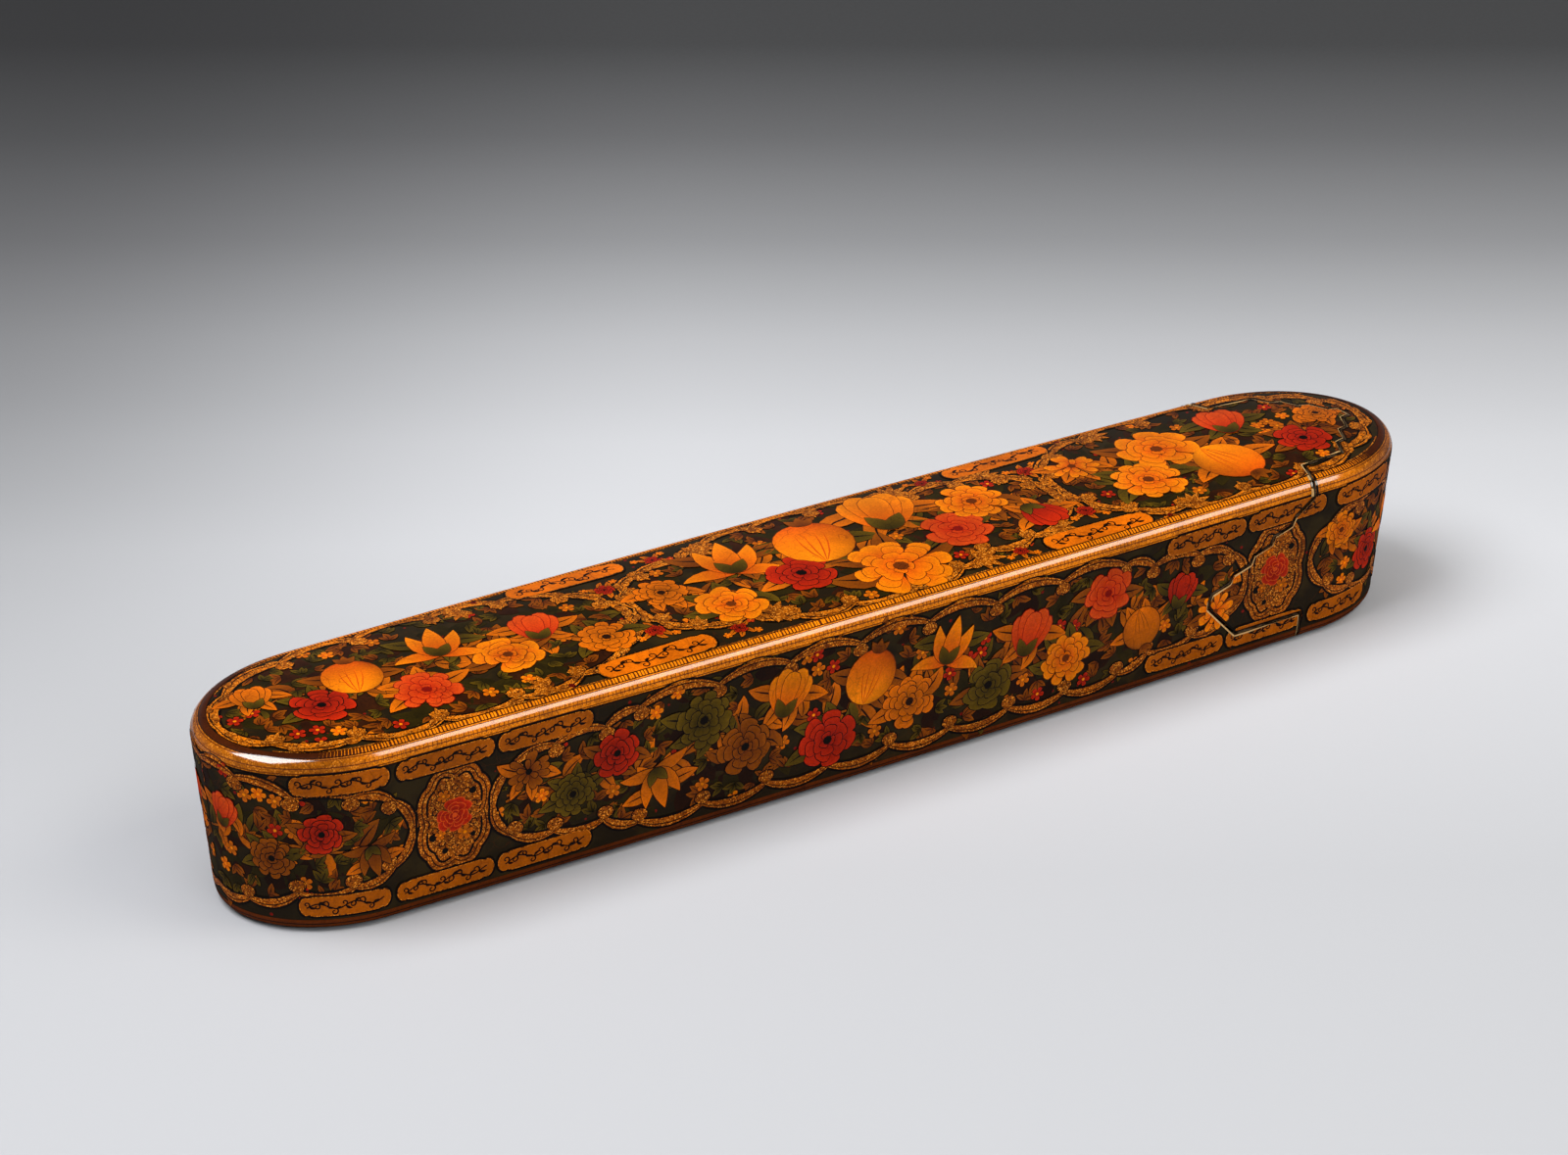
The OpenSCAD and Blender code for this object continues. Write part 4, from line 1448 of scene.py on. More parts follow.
@cache
def box_paint() -> Material:
    """Paint and gold of the decoration, in the mesh's own colours, whose alpha is the share of gold."""
    look = Varnished("box_paint")
    age = look.age.outputs
    own = look.add("Attribute", attribute_name="paint").outputs
    gold = look.add("Group", {"Color": own["Color"]}, node_tree=gilding()).outputs
    colour = look.mix(own["Alpha"], own["Color"], gold["Color"])
    colour = look.stain(colour, look.grey(age["Tone"]))
    colour = look.stain(colour, look.grey(look.span(age["Grain"], 0.3, 0.7, 0.8, 1.06)))
    colour = look.stain(colour, rgba((1.0, 0.84, 0.54)))
    dark = look.stain(colour, rgba((0.3, 0.22, 0.16)))
    colour = look.mix(look.times(age["Crack"], 0.55), colour, dark)
    rough = look.add("Mix", {0: own["Alpha"], 2: 0.5, 3: gold["Roughness"]}).outputs[0]
    return look.varnish(colour, rough, look.times(own["Alpha"], 0.12))


@cache
def box_ground() -> Material:
    """Near-black lacquer ground with olive clouds and tiny red specks."""
    look = Varnished("box_ground")
    cloud = look.span(look.noise(130.0, 5.0), 0.42, 0.66)
    colour = look.mix(cloud, rgba((0.013, 0.0075, 0.0022)), rgba((0.026, 0.0155, 0.0032)))
    specks = look.add("TexVoronoi", {"Vector": look.where, "Scale": 520.0}).outputs
    small = look.span(specks["Distance"], 0.12, 0.2, 1.0, 0.0)
    rare = look.math("GREATER_THAN", look.channel(specks["Color"], 0), 0.72)
    colour = look.mix(look.times(small, rare), colour, rgba(CRIMSON, 0.8))
    colour = look.mix(look.times(look.age.outputs["Crack"], 0.3), colour, rgba(BROWN, 0.5))
    return look.varnish(colour, 0.5)


@cache
def paper_edge() -> Material:
    """Bare worn papier-mache at the edges of the seam: layers of tan paper with dirt."""
    look = Finish("paper_edge", Specular_IOR_Level=0.3)
    layers = look.noise(700.0, stretch=(1.0, 1.0, 6.0))
    dirt = look.span(look.noise(380.0, 4.0), 0.4, 0.62)
    colour = look.mix(layers, rgba(BROWN, 0.5), rgba(PALE, 0.5))
    colour = look.mix(dirt, colour, rgba(SOOT))
    return look.done(colour, look.span(layers, 0.2, 0.8, 0.55, 0.8), layers, 0.4, 0.0003)


@cache
def lacquer(name: str, light: Triple, dark: Triple, gloss: float) -> Material:
    """Plain brushed lacquer, streaked along the box.

    Args:
        name: the material's name.
        light, dark: its colour where it is thin, and where it is thick or grimy.
        gloss: weight of its clear coat.
    Returns:
        the material.
    """
    look = Finish(name, Coat_Weight=gloss, Coat_Roughness=0.18, Specular_IOR_Level=0.15)
    streak = look.noise(900.0, 4.0, stretch=(0.12, 1.0, 1.0))
    grime = look.span(look.noise(110.0, 5.0), 0.4, 0.68)
    colour = look.mix(look.span(streak, 0.3, 0.7), rgba(dark), rgba(light))
    colour = look.mix(look.times(grime, 0.6), colour, rgba(dark, 0.5))
    return look.done(colour, look.span(grime, 0.0, 1.0, 0.38, 0.62), streak, 0.15, 0.0002)


@cache
def metal(name: str, light: Triple, dark: Triple, stretch: Triple, polish: float) -> Material:
    """Hand-finished metal: fine file marks one way, tarnish in patches and polished spots.

    Args:
        name: the material's name.
        light, dark: colours of the clean metal and of the tarnish.
        stretch: scale of the marks along each axis.
        polish: roughness where it is clean.
    Returns:
        the material.
    """
    look = Finish(name)
    marks = look.noise(5200.0, 2.0, stretch=stretch)
    tarnish = look.span(look.noise(210.0, 5.0, 0.65), 0.44, 0.7)
    colour = look.mix(look.times(tarnish, 0.75), rgba(light), rgba(dark))
    colour = look.mix(look.times(marks, 0.25), colour, rgba(dark))
    rough = look.math("ADD", look.span(tarnish, 0.0, 1.0, polish, polish + 0.22), look.times(marks, 0.12))
    return look.done(colour, rough, marks, 0.12, 0.00008, look.span(tarnish, 0.0, 1.0, 1.0, 0.72))


@cache
def pen_reed() -> Material:
    """Polished brown reed: fine fibres along it and mottled patches."""
    look = Finish("pen_reed", Coat_Weight=0.5, Coat_Roughness=0.2)
    fibre = look.noise(4200.0, stretch=(0.02, 1.0, 1.0))
    mottle = look.span(look.noise(170.0, 5.0, 0.7), 0.42, 0.62)
    colour = look.mix(fibre, rgba((0.17, 0.065, 0.02)), rgba((0.42, 0.2, 0.07)))
    colour = look.mix(look.times(mottle, 0.7), colour, rgba((0.075, 0.026, 0.01)))
    return look.done(colour, look.span(fibre, 0.2, 0.8, 0.5, 0.3), fibre, 0.25, 0.0001)


@cache
def old_bone() -> Material:
    """Yellowed bone: faint grain along it, short dark pores and age spots."""
    look = Finish("old_bone", Subsurface_Weight=0.08, Coat_Weight=0.25, Coat_Roughness=0.25)
    along = (0.06, 1.0, 1.0)
    grain = look.noise(2400.0, 4.0, stretch=along)
    pores = look.span(look.noise(5200.0, 1.0, stretch=along), 0.66, 0.74)
    spots = look.span(look.noise(120.0, 4.0), 0.38, 0.68)
    colour = look.mix(spots, rgba((0.74, 0.63, 0.45)), rgba((0.5, 0.33, 0.16)))
    colour = look.mix(look.times(grain, 0.35), colour, rgba((0.42, 0.29, 0.15)))
    colour = look.mix(pores, colour, rgba((0.16, 0.09, 0.04)))
    return look.done(colour, look.span(grain, 0.2, 0.8, 0.32, 0.52), grain, 0.12, 0.0001)


@cache
def inked_silk() -> Material:
    """Raw silk soaked with ink: blue-black, shining where it is wet."""
    look = Finish("inked_silk", Sheen_Weight=0.3, Sheen_Roughness=0.4)
    fibre = look.noise(3800.0, 4.0, stretch=(0.2, 1.0, 1.0))
    wet = look.span(look.noise(160.0), 0.4, 0.6)
    colour = look.mix(fibre, rgba((0.004, 0.004, 0.006)), rgba((0.035, 0.033, 0.038)))
    return look.done(colour, look.span(wet, 0.0, 1.0, 0.75, 0.22), fibre, 0.6, 0.0003)


def dress(piece: Piece, body: str, slot: str, *materials: Material) -> None:
    """Gives a piece its materials and its body.

    Args:
        piece: the object.
        body: the body that it moves with.
        slot: the finish's name; not used.
        materials: its materials in slot order.
    """
    for material in materials:
        piece.data.materials.append(material)
    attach(piece, body)
    log.info("%s: %d faces on %s", piece.name, len(piece.data.polygons), body)


@dataclass(frozen=True)
class Panel:
    """Roof panel: the cusps of its frame on one side of the middle line, and the spray along that line."""

    cusps: list[Spot]
    stem: Spot
    wave: float
    cycles: float
    blooms: Blooms


PANELS = (
    Panel([(-116.2, 0.0), (-111.0, -9.2), (-98.5, -14.5), (-84.0, -16.0), (-70.0, -16.2), (-57.6, -14.9),
           (-47.6, -10.8), (-42.3, -4.6), (-41.3, 0.0)], (-112.0, -44.0), 2.6, 2.0,
          [(TULIP, 4.2, GOLDEN), (ROSE, 5.2, RED), (QUINCE, 5.6, AMBER), (PEONY, 5.8, PINK),
           (LILY, 5.6, AMBER), (ROSE, 5.8, AMBER), (TULIP, 5.2, PINK), (PEONY, 5.2, GOLDEN)]),
    Panel([(-38.7, 0.0), (-37.8, -6.0), (-32.8, -10.9), (-23.6, -11.2), (-17.0, -15.4), (-6.0, -16.9),
           (6.0, -17.1), (17.0, -15.8), (24.5, -12.6), (34.0, -12.6), (42.2, -9.6), (45.8, -4.6),
           (46.4, 0.0)], (-36.5, 44.5), -2.6, 2.5,
          [(PEONY, 4.8, GOLDEN), (ROSE, 6.0, AMBER), (LILY, 6.8, AMBER), (ROSE, 6.2, RED),
           (QUINCE, 7.8, AMBER), (PEONY, 9.4, AMBER), (TULIP, 8.4, AMBER), (ROSE, 6.2, PINK),
           (PEONY, 6.6, AMBER), (TULIP, 5.0, RED)]),
    Panel([(48.8, 0.0), (49.8, -6.0), (55.0, -12.4), (64.5, -16.2), (78.0, -16.8), (92.0, -15.9),
           (104.0, -12.4), (112.0, -7.0), (115.0, 0.0)], (51.5, 112.0), 2.6, 2.0,
          [(DAISY, 5.0, AMBER), (PEONY, 7.0, AMBER), (ROSE, 7.6, AMBER), (QUINCE, 6.8, AMBER),
           (TULIP, 5.8, PINK), (ROSE, 5.2, RED), (PEONY, 4.2, GOLDEN)]),
)

# Cusps of the long panel on a wall: along its foot, then back under the rim.
LONG_PANEL = (
    [(-77.4, 17.0), (-74.0, 10.4), (-66.0, 8.6), (-56.6, 8.0), (-50.0, 5.4), (-37.5, 5.1), (-25.0, 5.4),
     (-12.5, 5.1), (0.0, 5.4), (12.5, 5.1), (25.0, 5.4), (37.0, 5.1), (48.6, 5.5), (55.0, 8.0), (65.0, 8.6),
     (72.6, 10.4), (76.2, 17.0)],
    [(76.2, 17.0), (72.6, 23.6), (65.0, 25.5), (55.0, 26.0), (48.6, 28.0), (35.0, 28.3), (21.0, 28.0),
     (7.0, 28.3), (-7.0, 28.0), (-21.0, 28.3), (-35.0, 28.0), (-50.0, 28.0), (-56.6, 26.0), (-66.0, 25.5),
     (-74.0, 23.6), (-77.4, 17.0)],
)
LONG_SPRAY = [
    (DAISY, 4.0, TAWNY), (PEONY, 4.2, GREEN), (ROSE, 4.4, RED), (LILY, 4.6, GOLDEN), (PEONY, 5.4, GREEN),
    (ROSE, 5.2, TAWNY), (TULIP, 5.2, AMBER), (ROSE, 5.6, RED), (QUINCE, 5.4, AMBER), (PEONY, 5.4, GOLDEN),
    (LILY, 5.0, AMBER), (ROSE, 5.2, GREEN), (TULIP, 5.2, PINK), (PEONY, 5.2, AMBER), (ROSE, 5.0, PINK),
    (QUINCE, 4.4, GOLDEN), (TULIP, 4.0, RED), (DAISY, 4.0, AMBER)]


@dataclass
class PaintedShell:
    """The case and the drawer's head, which are cut from one shell, and all that is painted on them."""

    shell: Shell = Shell()
    seam: Seam = Seam()
    wall: float = 2.0
    roof_band: float = 1.8
    wall_band: float = 1.4
    mid_wall: float = 17.0

    def build(self) -> None:
        """Makes both skins and the painting of each face."""
        self.skin("case_shell", False, "case", "outer_case")
        self.skin("head_shell", True, "drawer", "drawer_head")
        for face, seed in ((Face.ROOF, 11), (Face.NEAR, 23), (Face.FAR, 37)):
            painting = Painting(Chart(self.shell, face))
            (self.paint_roof if face is Face.ROOF else self.paint_wall)(painting, seed)
            self.seam_shadow_and_highlights(painting, seed)
            for owner, piece in painting.pieces(self.seam, f"paint_{face.value}").items():
                dress(piece, "case" if owner == "case" else "drawer", "painted_lacquer", box_paint())

    def skin(self, name: str, head: bool, body: str, node: str) -> None:
        """One part of the shell: its outside, cut at the seam and given its wall inwards.

        Args:
            name: the piece's name.
            head: True for the drawer's head.
            body, node: the body that it moves with, and the solid that it stands for.
        """
        points, triangles = self.seam.cut_skin(*self.shell.skin(), head)
        used, flat = np.unique(triangles, return_inverse=True)
        piece = make_piece(name, points[used], flat.reshape(-1, 3))
        weld(piece)
        inside_lacquer = lacquer("shell_inside", (0.045, 0.016, 0.008), (0.014, 0.006, 0.004), 0.35)
        for material in (box_ground(), inside_lacquer, paper_edge()):
            piece.data.materials.append(material)
        wall = piece.modifiers.new("wall", "SOLIDIFY")
        wall.thickness = self.wall * MM
        wall.offset = -1.0
        wall.use_even_offset = True
        wall.material_offset = 1
        wall.material_offset_rim = 2
        settle(piece)
        dress(piece, body, "painted_lacquer")
        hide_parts(node)

    def seam_shadow_and_highlights(self, painting: Painting, seed: int) -> None:
        """Painted shadow along the seam's gap as a dark line, and pale worn paper on whichever of its two
        edges faces up, which is partly painted highlight where that edge catches the light.

        Args:
            painting, seed: the painting to add to, and the seed of the wear.
        """
        hand = np.random.default_rng(seed)
        roof, seam = painting.chart.roof, self.seam
        low, high = (-17.9, 17.9) if roof else (0.4, self.shell.rim_v)
        first = seam.x - (seam.tongue_root if roof else seam.cheek_reach + 1.0)
        shape = seam.tongue if roof else seam.wall
        runs = (np.stack([run, np.roll(run, -1, 0)], 1) for run in map(shape, (-0.13, 0.28, seam.gap + 0.17)))
        for case_edge, line, head_edge in zip(*runs):
            reach = np.linalg.norm(line[1] - line[0])
            t = np.linspace(0.0, 1.0, max(4, int(reach / 0.3)))[:, None]
            path = line[0] + (line[1] - line[0]) * t
            keep = (path[:, 1] > low) & (path[:, 1] < high) & (path[:, 0] < self.shell.length / 2)
            if keep.sum() < 3 or path[keep, 0].min() < first:
                continue
            up = 0.0 if roof else (line[0, 0] - line[1, 0]) / reach
            rim = not roof and path[keep, 1].mean() > self.shell.shoulder
            root = roof and np.abs(path[keep, 1]).mean() > 14.0
            # Dark line: painted shadow in the seam's gap, wider at the rim.
            painting.stroke(path[keep], 1.5 if rim else 0.95, SOOT, 0.215)
            # Pale strokes on the edge that faces up: worn paper, and painted highlight on it.
            edge = head_edge if up > 0.3 else case_edge
            marks = hand.random(max(2, len(path) // 8))
            worn = np.interp(t[:, 0], np.linspace(0.0, 1.0, len(marks)), marks)
            widest = 1.0 if rim else 0.6 if root else 0.12 + 0.42 * abs(up)
            highlight_widths = 0.03 + widest * np.clip(worn - 0.25, 0.0, 0.55) / 0.55
            lit_edge_path = edge[0] + (edge[1] - edge[0]) * t
            painting.stroke(lit_edge_path[keep], highlight_widths[keep], PALE, 0.228)

    def paint_roof(self, painting: Painting, seed: int) -> None:
        """Roof: three lobed panels with sprays, cartouches along both edges, and posies between the panels.

        Args:
            painting, seed: the painting on the roof, and the seed of the painter's hand.
        """
        gold, garden = Goldwork(painting, seed), Garden(painting, seed + 1)
        painting.twin = True
        frames = [gold.frame(panel.cusps, 0.15, self.roof_band, True) for panel in PANELS]
        for spot, heading, size in (((21.2, -14.4), -0.35, 5.4), ((39.6, -11.3), -0.7, 4.2),
                                    ((-20.2, -13.4), 0.1, 5.0), ((66.0, -16.0), 0.1, 4.4),
                                    ((-64.0, -15.4), 2.9, 4.4)):
            gold.acanthus(spot, heading, size)
        gold.cartouche((-43.8, -15.9), 11.0, 2.3, SAFFRON, 0.02)
        gold.cartouche((45.6, -16.3), 11.0, 2.3, SAFFRON, -0.02)
        for spot, size in (((-40.1, -8.6), 1.7), ((-27.2, -14.6), 1.5), ((47.7, -9.4), 1.7),
                           ((29.4, -15.6), 1.4), ((-60.8, -17.3), 0.6), ((60.2, -17.4), 0.6)):
            garden.posy(spot, size)
        x, bend = np.linspace(-112.0, 112.0, 300), self.shell.end_x
        past = np.maximum(np.abs(x) - bend, 0.0) / 22.0
        limit = (self.shell.end_half - 2.9) * np.sqrt(np.clip(1.0 - past**2, 0.0, 1.0))
        bow = self.shell.bow * (1.0 - np.clip(np.abs(x) / bend, 0.0, 1.0) ** 2)
        painting.stroke(np.stack([x, -limit - bow], 1), 0.35, OCHRE, 0.05, 1.0)
        painting.twin = False
        for panel, half in zip(PANELS, frames):
            outline = np.concatenate([half, half[::-1] * np.array([1.0, -1.0])])
            start, end = ((x, 0.0) for x in panel.stem)
            garden.spray(outline, start, end, panel.wave, panel.cycles, panel.blooms)

    def paint_wall(self, painting: Painting, seed: int) -> None:
        """Long side and half of each end: a long panel, two medallions, end panels, and rows of cartouches.

        Args:
            painting, seed: the painting on the wall, and the seed of the painter's hand.
        """
        gold, garden = Goldwork(painting, seed), Garden(painting, seed + 1)
        tip, mid = self.shell.tip, self.mid_wall

        def framed(runs: tuple[list[Spot], ...]) -> Array:
            """One path of all the runs of a frame, which are painted."""
            return np.concatenate([gold.frame(run, 0.13, self.wall_band, False) for run in runs])

        gold.rim()
        panel = framed(LONG_PANEL)
        ends = []
        for side in (-1.0, 1.0):
            right = side > 0
            inner = 91.2 if right else 92.0
            upper = [(tip, 29.4), (122.0, 29.0), (112.4, 26.4), (102.5, 25.8), (95.4, 23.4), (inner, mid)]
            lower = [(inner, mid), (95.4, 10.6), (102.5, 8.4), (112.4, 8.0), (122.0, 5.6), (tip, 5.2)]
            runs = (upper, lower) if right else (lower[::-1], upper[::-1])
            ends.append(framed([[(side * x, v) for x, v in run] for run in runs]))
            shift = 1.4 if right else 0.0
            for middle, breadth in ((104.3, 8.1), (86.0, 8.7), (67.7, 8.6)):
                near = side * middle - (shift if middle < 100 else 0.0)
                gold.cartouche((near, 28.7), breadth, 1.8, TAN)
                gold.cartouche((side * middle - (4.0 if right else 0.0), 5.2), breadth, 1.8, TAN)
            heart = np.array([side * 84.4 - shift, mid])
            gold.medallion(heart, 6.0, 9.3)
            heart[1] += 0.4
            garden.flower(ROSE, heart, 3.1, 0.3, SCARLET, 0.11)
            for away, size in (((1.9, -3.9), 1.5), ((-2.0, 4.2), 1.2), ((-2.6, -3.2), 1.0)):
                garden.floret(heart + away, size, GOLDEN, 0.106)
        garden.spray(panel, (-75.0, mid), (74.0, mid), 1.8, 4.0, LONG_SPRAY)
        # The left end's spray is in darker, muted colours: painted shade on that end.
        garden.spray(ends[0], (-tip + 0.6, mid), (-94.5, mid), 1.5, 1.0,
                     [(TULIP, 3.6, PINK), (PEONY, 4.0, TAWNY), (ROSE, 3.8, RED), (LILY, 3.4, TAWNY)])
        garden.spray(ends[1], (93.5, mid), (tip - 0.6, mid), 1.5, 1.0,
                     [(PEONY, 3.8, AMBER), (ROSE, 4.2, RED), (LILY, 4.4, AMBER), (TULIP, 4.2, GOLDEN)])


@dataclass
class Drawer:
    """The drawer's tray and what lies in it."""

    shell: Shell = Shell()
    inset: float = 2.5
    wall: float = 1.5
    floor: float = 2.5
    well: float = 4.0
    top: float = 29.5
    edge: float = 0.6
    fillet: float = 1.2
    foot: float = 0.4
    vine_pitch: float = 26.0
    vine_swing: float = 5.2
    vine_height: float = 16.6

    def build(self) -> None:
        """Makes the tray, its painting and the silk, and dresses the solids that stay."""
        red = lacquer("tray_red", (0.24, 0.022, 0.01), (0.085, 0.009, 0.005), 0.16)
        self.tray(red)
        self.silk()
        brass = metal("worn_brass", (0.66, 0.43, 0.14), (0.2, 0.1, 0.035), (0.03, 1.0, 1.0), 0.24)
        steel = metal("ground_steel", (0.42, 0.42, 0.43), (0.14, 0.1, 0.075), (1.0, 0.03, 1.0), 0.28)
        kinds = {"tray_partition": red, "inkwell_body": brass, "inkwell_lid": brass,
                 "inkwell_hinge_pin": brass, "reed_pen_1": pen_reed(), "reed_pen_2": pen_reed(),
                 "reed_pen_3": pen_reed(), "knife_blade": steel, "knife_ferrule": brass,
                 "knife_handle": old_bone(), "knife_pommel": brass, "nib_rest": old_bone(),
                 "water_spoon": brass}
        for name, material in kinds.items():
            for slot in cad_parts[name].material_slots:
                slot.material = material
            log.info("%s: dressed in %s", name, material.name)

    def tray(self, red: Material) -> None:
        """Tray: one profile, up the outside, over the edge and down to the floor, carried round the plan.

        Args:
            red: the tray's lacquer.
        """
        plain = replace(self.shell, bow=0.0, width=2 * self.shell.end_half)
        turn, hollow = np.linspace(0.0, math.pi, 9), np.linspace(0.0, QUARTER, 6)
        brim = self.top - self.edge
        up = np.linspace(self.floor + self.foot, brim, 10)
        down = np.linspace(brim, self.well + self.fillet, 8)[1:]
        half, inner = self.wall / 2, self.inset + self.wall
        inset = np.concatenate([
            [plain.end_half, self.inset + plain.lean(self.floor) + self.foot], self.inset + plain.lean(up),
            self.inset + half + plain.lean(self.top) - half * np.cos(turn), inner + plain.lean(down),
            inner + plain.lean(self.well) + self.fillet * (1.0 - np.cos(hollow)), [plain.end_half]])
        height = np.concatenate([
            [self.floor, self.floor], up, brim + self.edge * np.sin(turn), down,
            self.well + self.fillet * (1.0 - np.sin(hollow)), [self.well]])
        piece = make_piece("tray_shell", *plain.loft(inset, height, side=60, end=60))
        weld(piece)
        settle(piece, 50.0)
        dress(piece, "drawer", "drawer_lacquer", red)
        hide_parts("drawer_tray")
        outside = replace(plain, length=plain.length - 2 * self.inset, width=plain.width - 2 * self.inset,
                          end_depth=plain.end_depth - self.inset)
        for face in (Face.NEAR, Face.FAR):
            painting = Painting(Chart(outside, face))
            self.vine(painting)
            for made in painting.pieces(None, f"paint_{face.value}").values():
                dress(made, "drawer", "drawer_lacquer", box_paint())

    def vine(self, painting: Painting) -> None:
        """Gold vine, a sine wave with leaves, between two lines along the tray's outside.

        Args:
            painting: the painting on that side of the tray.
        """
        tip = painting.chart.shell.tip
        s = np.linspace(-tip, tip, 520)
        for v, width in ((27.9, 0.7), (26.8, 0.3), (6.4, 0.3), (5.3, 0.7)):
            painting.stroke(level(s, v), width, GOLD, 0.03, 1.0)
        rate = TURN / self.vine_pitch

        def wave(x: Array) -> Array:
            """Points of the vine."""
            return np.stack([x, self.vine_height + self.vine_swing * np.sin(x * rate)], 1)

        painting.stroke(wave(s), 0.75, HONEY, 0.03, 0.4)
        root = np.arange(-tip + 2.0, tip - 2.0, 3.25)
        flank = alternate(len(root))
        slope = np.arctan(self.vine_swing * rate * np.cos(root * rate))
        painting.blades(wave(root), slope + flank * 0.9, 4.8, 1.15, 0.045,
                        Shade(SAFFRON, HONEY, UMBER), bend=-flank * 0.8, gilt=0.4)

    def silk(self) -> None:
        """Wad of inked silk: a crowned pad with lumps, wound over with loose strands."""
        low, high = (np.array(corner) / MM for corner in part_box("inkwell_silk_wad"))
        middle, size = (low + high) / 2, (high - low) / 2
        hand = np.random.default_rng(5)
        theta = np.linspace(0.0, TURN, 97)[:-1]
        phi = np.linspace(-QUARTER, QUARTER, 33)[:, None]

        def rounded(wave: Array) -> Array:
            """Sine or cosine drawn out towards a square."""
            return np.sign(wave) * np.abs(wave) ** 0.5

        def lump(x: Array, y: Array) -> Array:
            """Sum of a few waves, for an uneven pad."""
            return 0.5 * np.sin(x * 0.9 + 1.0) * np.sin(y * 1.1) + 0.3 * np.sin(x * 2.1 + y * 1.7)

        def dome(x: Array, y: Array) -> Array:
            """Height of the pad's top at shares of its half-sizes."""
            return middle[2] + size[2] * (0.78 - 0.5 * np.maximum(x**4, y**4)) + 0.55 * lump(x * 9.0, y * 6.0)

        x, y = (0.97 * rounded(np.cos(phi)) * rounded(wave) for wave in (np.cos(theta), np.sin(theta)))
        bottom, rise = low[2] + 0.1 + 0.0 * x, np.sin(phi)
        z = np.where(rise > 0.0, dome(x, y), bottom + (dome(x, y) - bottom) * 0.5 * (1 + rise))
        pad = np.stack([middle[0] + size[0] * x, middle[1] + size[1] * y, z], -1).reshape(-1, 3)
        count, steps, sides = 90, 30, 5
        t = np.linspace(0.0, 1.0, steps)
        start, swing = (hand.uniform(-reach, reach, (count, 2, 1)) for reach in (0.8, 0.5))
        phase = hand.uniform(0.0, 6.0, (count, 2, 1))
        path = np.clip(start + swing * np.sin(t * hand.uniform(3.0, 7.0, (count, 1, 1)) + phase), -0.86, 0.86)
        line = np.stack([middle[0] + size[0] * path[:, 0], middle[1] + size[1] * path[:, 1],
                         dome(path[:, 0], path[:, 1]) + 0.2 + 0.25 * np.sin(t * 5 + phase[:, 0])], -1)
        along = unit(np.gradient(line, axis=1))
        right = unit(np.cross(along, [0.28, 0.17, 0.94]))
        up = np.cross(right, along)
        ring = rays(np.linspace(0.0, TURN, sides, endpoint=False))
        thick = (0.2 * np.sin(math.pi * t) ** 0.3)[None, :, None, None]
        tubes = line[:, :, None] + thick * (ring[:, :1] * right[:, :, None] + ring[:, 1:] * up[:, :, None])
        own = grid_triangles(steps, sides, wrap=True)
        strands = (own[None] + (np.arange(count) * steps * sides)[:, None, None]).reshape(-1, 3) + len(pad)
        faces = np.concatenate([grid_triangles(33, 96, wrap=True), strands])
        piece = make_piece("ink_silk_wad", np.concatenate([pad, tubes.reshape(-1, 3)]), faces)
        weld(piece, 0.004)
        dress(piece, "drawer", "ink_silk", inked_silk())
        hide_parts("inkwell_silk_wad")


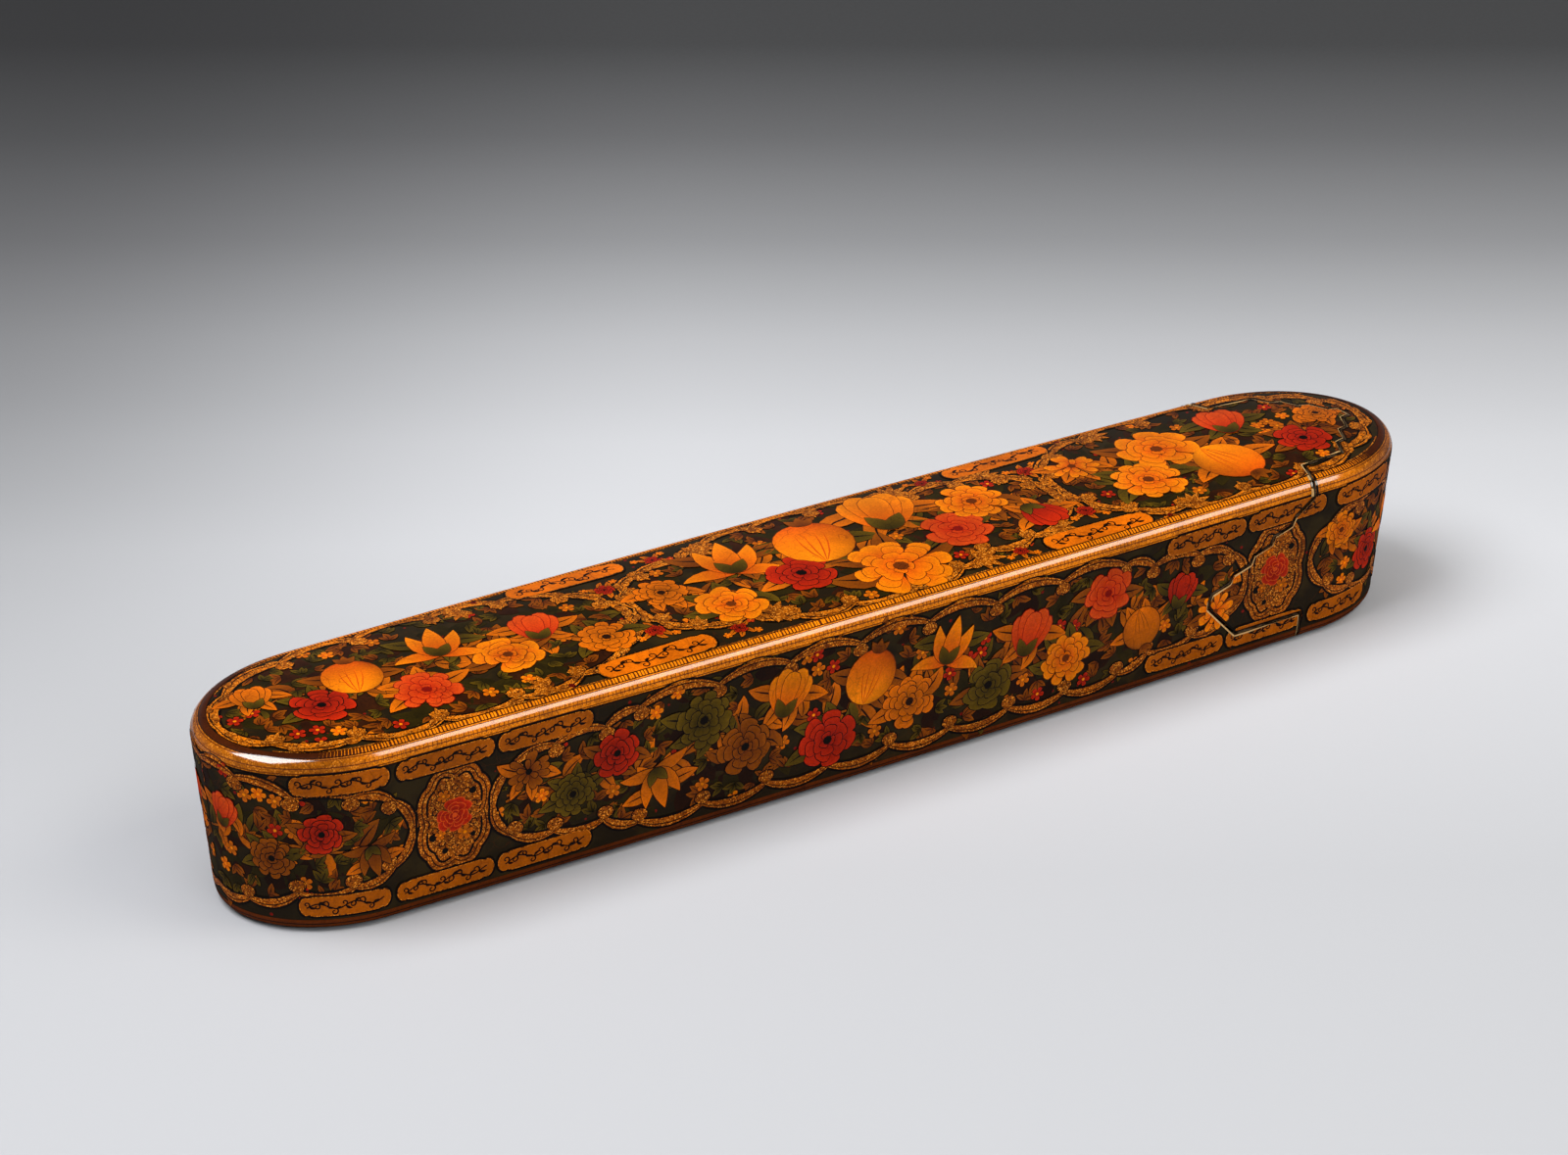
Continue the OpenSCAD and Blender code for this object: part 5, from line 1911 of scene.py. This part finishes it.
@dataclass
class Studio:
    """Camera, lights and floor, seen as in a museum's record picture."""

    eye: Triple = (-0.351134, -0.554446, 0.367086)
    aim: Triple = (0.006202, 0.025241, 0.01675)
    sensor: float = 36.0
    lens: float = 4322.594 / 1600 * 36.0
    floor_reach: float = 3.0
    floor_cells: int = 25

    def build(self) -> None:
        """Sets up everything round the box."""
        scene = bpy.context.scene
        scene.view_settings.view_transform = "Standard"
        camera = bpy.data.objects.new("camera", bpy.data.cameras.new("camera"))
        camera.data.sensor_width = self.sensor
        camera.data.lens = self.lens
        camera.data.clip_start = 0.01
        camera.location = self.eye
        camera.rotation_euler = (Vector(self.aim) - Vector(self.eye)).to_track_quat("-Z", "Y").to_euler()
        scene.collection.objects.link(camera)
        scene.camera = camera
        self.lamp("key", (-0.5, 0.06, 0.92), (0.0, 0.0, 0.02), (0.6, 0.6), 10.1, (1.0, 1.0, 1.0))
        self.lamp("top", (0.0, 0.02, 1.35), (0.0, 0.02, 0.0), (1.0, 0.8), 4.3, (1.0, 1.0, 1.0), False)
        self.lamp("over", (0.44, -0.47, 0.78), (0.1, -0.1, 0.0), (0.6, 0.42), 3.4, (1.0, 0.95, 0.85))
        self.lamp("front", (-0.05, -1.05, 0.7), (0.0, 0.0, 0.02), (0.7, 0.5), 4.0, (0.98, 1.0, 1.03), False)
        self.sky()
        self.floor()

    def lamp(self, name: str, spot: Triple, aim: Triple, size: Spot, power: float, colour: Triple,
             mirrored: bool = True) -> None:
        """Soft rectangular lamp that points at a place, its breadth along the box.

        Args:
            name: the lamp's name.
            spot, aim: where it hangs and where it points.
            size, power, colour: its breadth and depth, its power in watts and its tint.
            mirrored: False keeps it out of the reflections in the varnish.
        """
        light = bpy.data.lights.new(name, "AREA")
        light.shape = "RECTANGLE"
        light.size, light.size_y = size
        light.energy = power
        light.color = colour
        lamp = bpy.data.objects.new(name, light)
        lamp.location = spot
        lamp.visible_glossy = mirrored
        down = (Vector(spot) - Vector(aim)).normalized()
        along = (Vector((1.0, 0.0, 0.0)) - down * down.x).normalized()
        lamp.rotation_euler = Matrix((along, down.cross(along), down)).transposed().to_euler()
        bpy.context.scene.collection.objects.link(lamp)

    def sky(self) -> None:
        """Dim room: grey near the horizon and dark overhead."""
        world = bpy.data.worlds.new("room")
        world.use_nodes = True
        nodes = Nodes(world.node_tree)
        up = nodes.add("SeparateXYZ", {0: nodes.add("TexCoord").outputs["Generated"]}).outputs[2]
        colour = nodes.mix(nodes.span(up, 0.05, 0.62), (0.14, 0.143, 0.15, 1.0), (0.035, 0.035, 0.037, 1.0))
        shade = nodes.add("Background", {"Color": colour, "Strength": 1.0})
        nodes.add("OutputWorld", {"Surface": shade.outputs[0]})
        bpy.context.scene.world = world

    def floor(self) -> None:
        """Wide paper floor, pale in front, graded to grey behind the box and to its left as painted falloff
        of light.
        """
        away = unit(np.array(self.aim[:2]) - np.array(self.eye[:2]))
        side = -left_of(away)
        share = np.linspace(-self.floor_reach, self.floor_reach, self.floor_cells)
        u, v = np.meshgrid(share, share, indexing="ij")
        flat = u[..., None] * side + v[..., None] * away
        points = np.concatenate([flat, np.zeros(u.shape + (1,))], -1).reshape(-1, 3) / MM
        piece = make_piece("paper_floor", points, grid_triangles(*u.shape))
        look = Finish("paper_painted_falloff", Roughness=0.75, Specular_IOR_Level=0.25)
        depth, left = (look.add("VectorMath", {0: look.where, 1: (way[0], way[1], 0.0)},
                                operation="DOT_PRODUCT").outputs["Value"] for way in (away, -side))
        # Painted shade: the floor darkens to the left of the box and behind it, where the light falls off.
        dim = look.times(look.span(left, 0.02, 0.19), look.span(depth, -0.1, 0.15, 0.03, 0.56))
        # Painted falloff of light along the depth: pale in front, grey then near-black far behind.
        ramp = look.add("ValToRGB", {0: look.add("MapRange", {0: depth, 1: -0.1, 2: 0.4}).outputs[0]})
        falloff_tones = ((-0.05, 0.503), (0.07, 0.632), (0.117, 0.588), (0.168, 0.46), (0.224, 0.268), (0.287, 0.134),
                 (0.35, 0.058))
        while len(ramp.color_ramp.elements) < len(falloff_tones):
            ramp.color_ramp.elements.new(0.5)
        for element, (at, tone) in zip(ramp.color_ramp.elements, falloff_tones):
            element.position = (at + 0.1) / 0.5
            element.color = (tone, tone * 1.02, tone * 1.075, 1.0)
        tooth = look.times(look.noise(900.0), 0.04)
        colour = look.mix(tooth, ramp.outputs[0], (0.4, 0.4, 0.41, 1.0))
        look.fill(look.shader, {"Base Color": look.mix(dim, colour, (0.02, 0.02, 0.022, 1.0))})
        piece.data.materials.append(look.material)


def main() -> None:
    """Builds the studio, the painted shell and the drawer, in that order."""
    logging.basicConfig(level=logging.INFO, format="%(name)s: %(message)s")
    Studio().build()
    PaintedShell().build()
    Drawer().build()


if __name__ == "__main__":
    main()
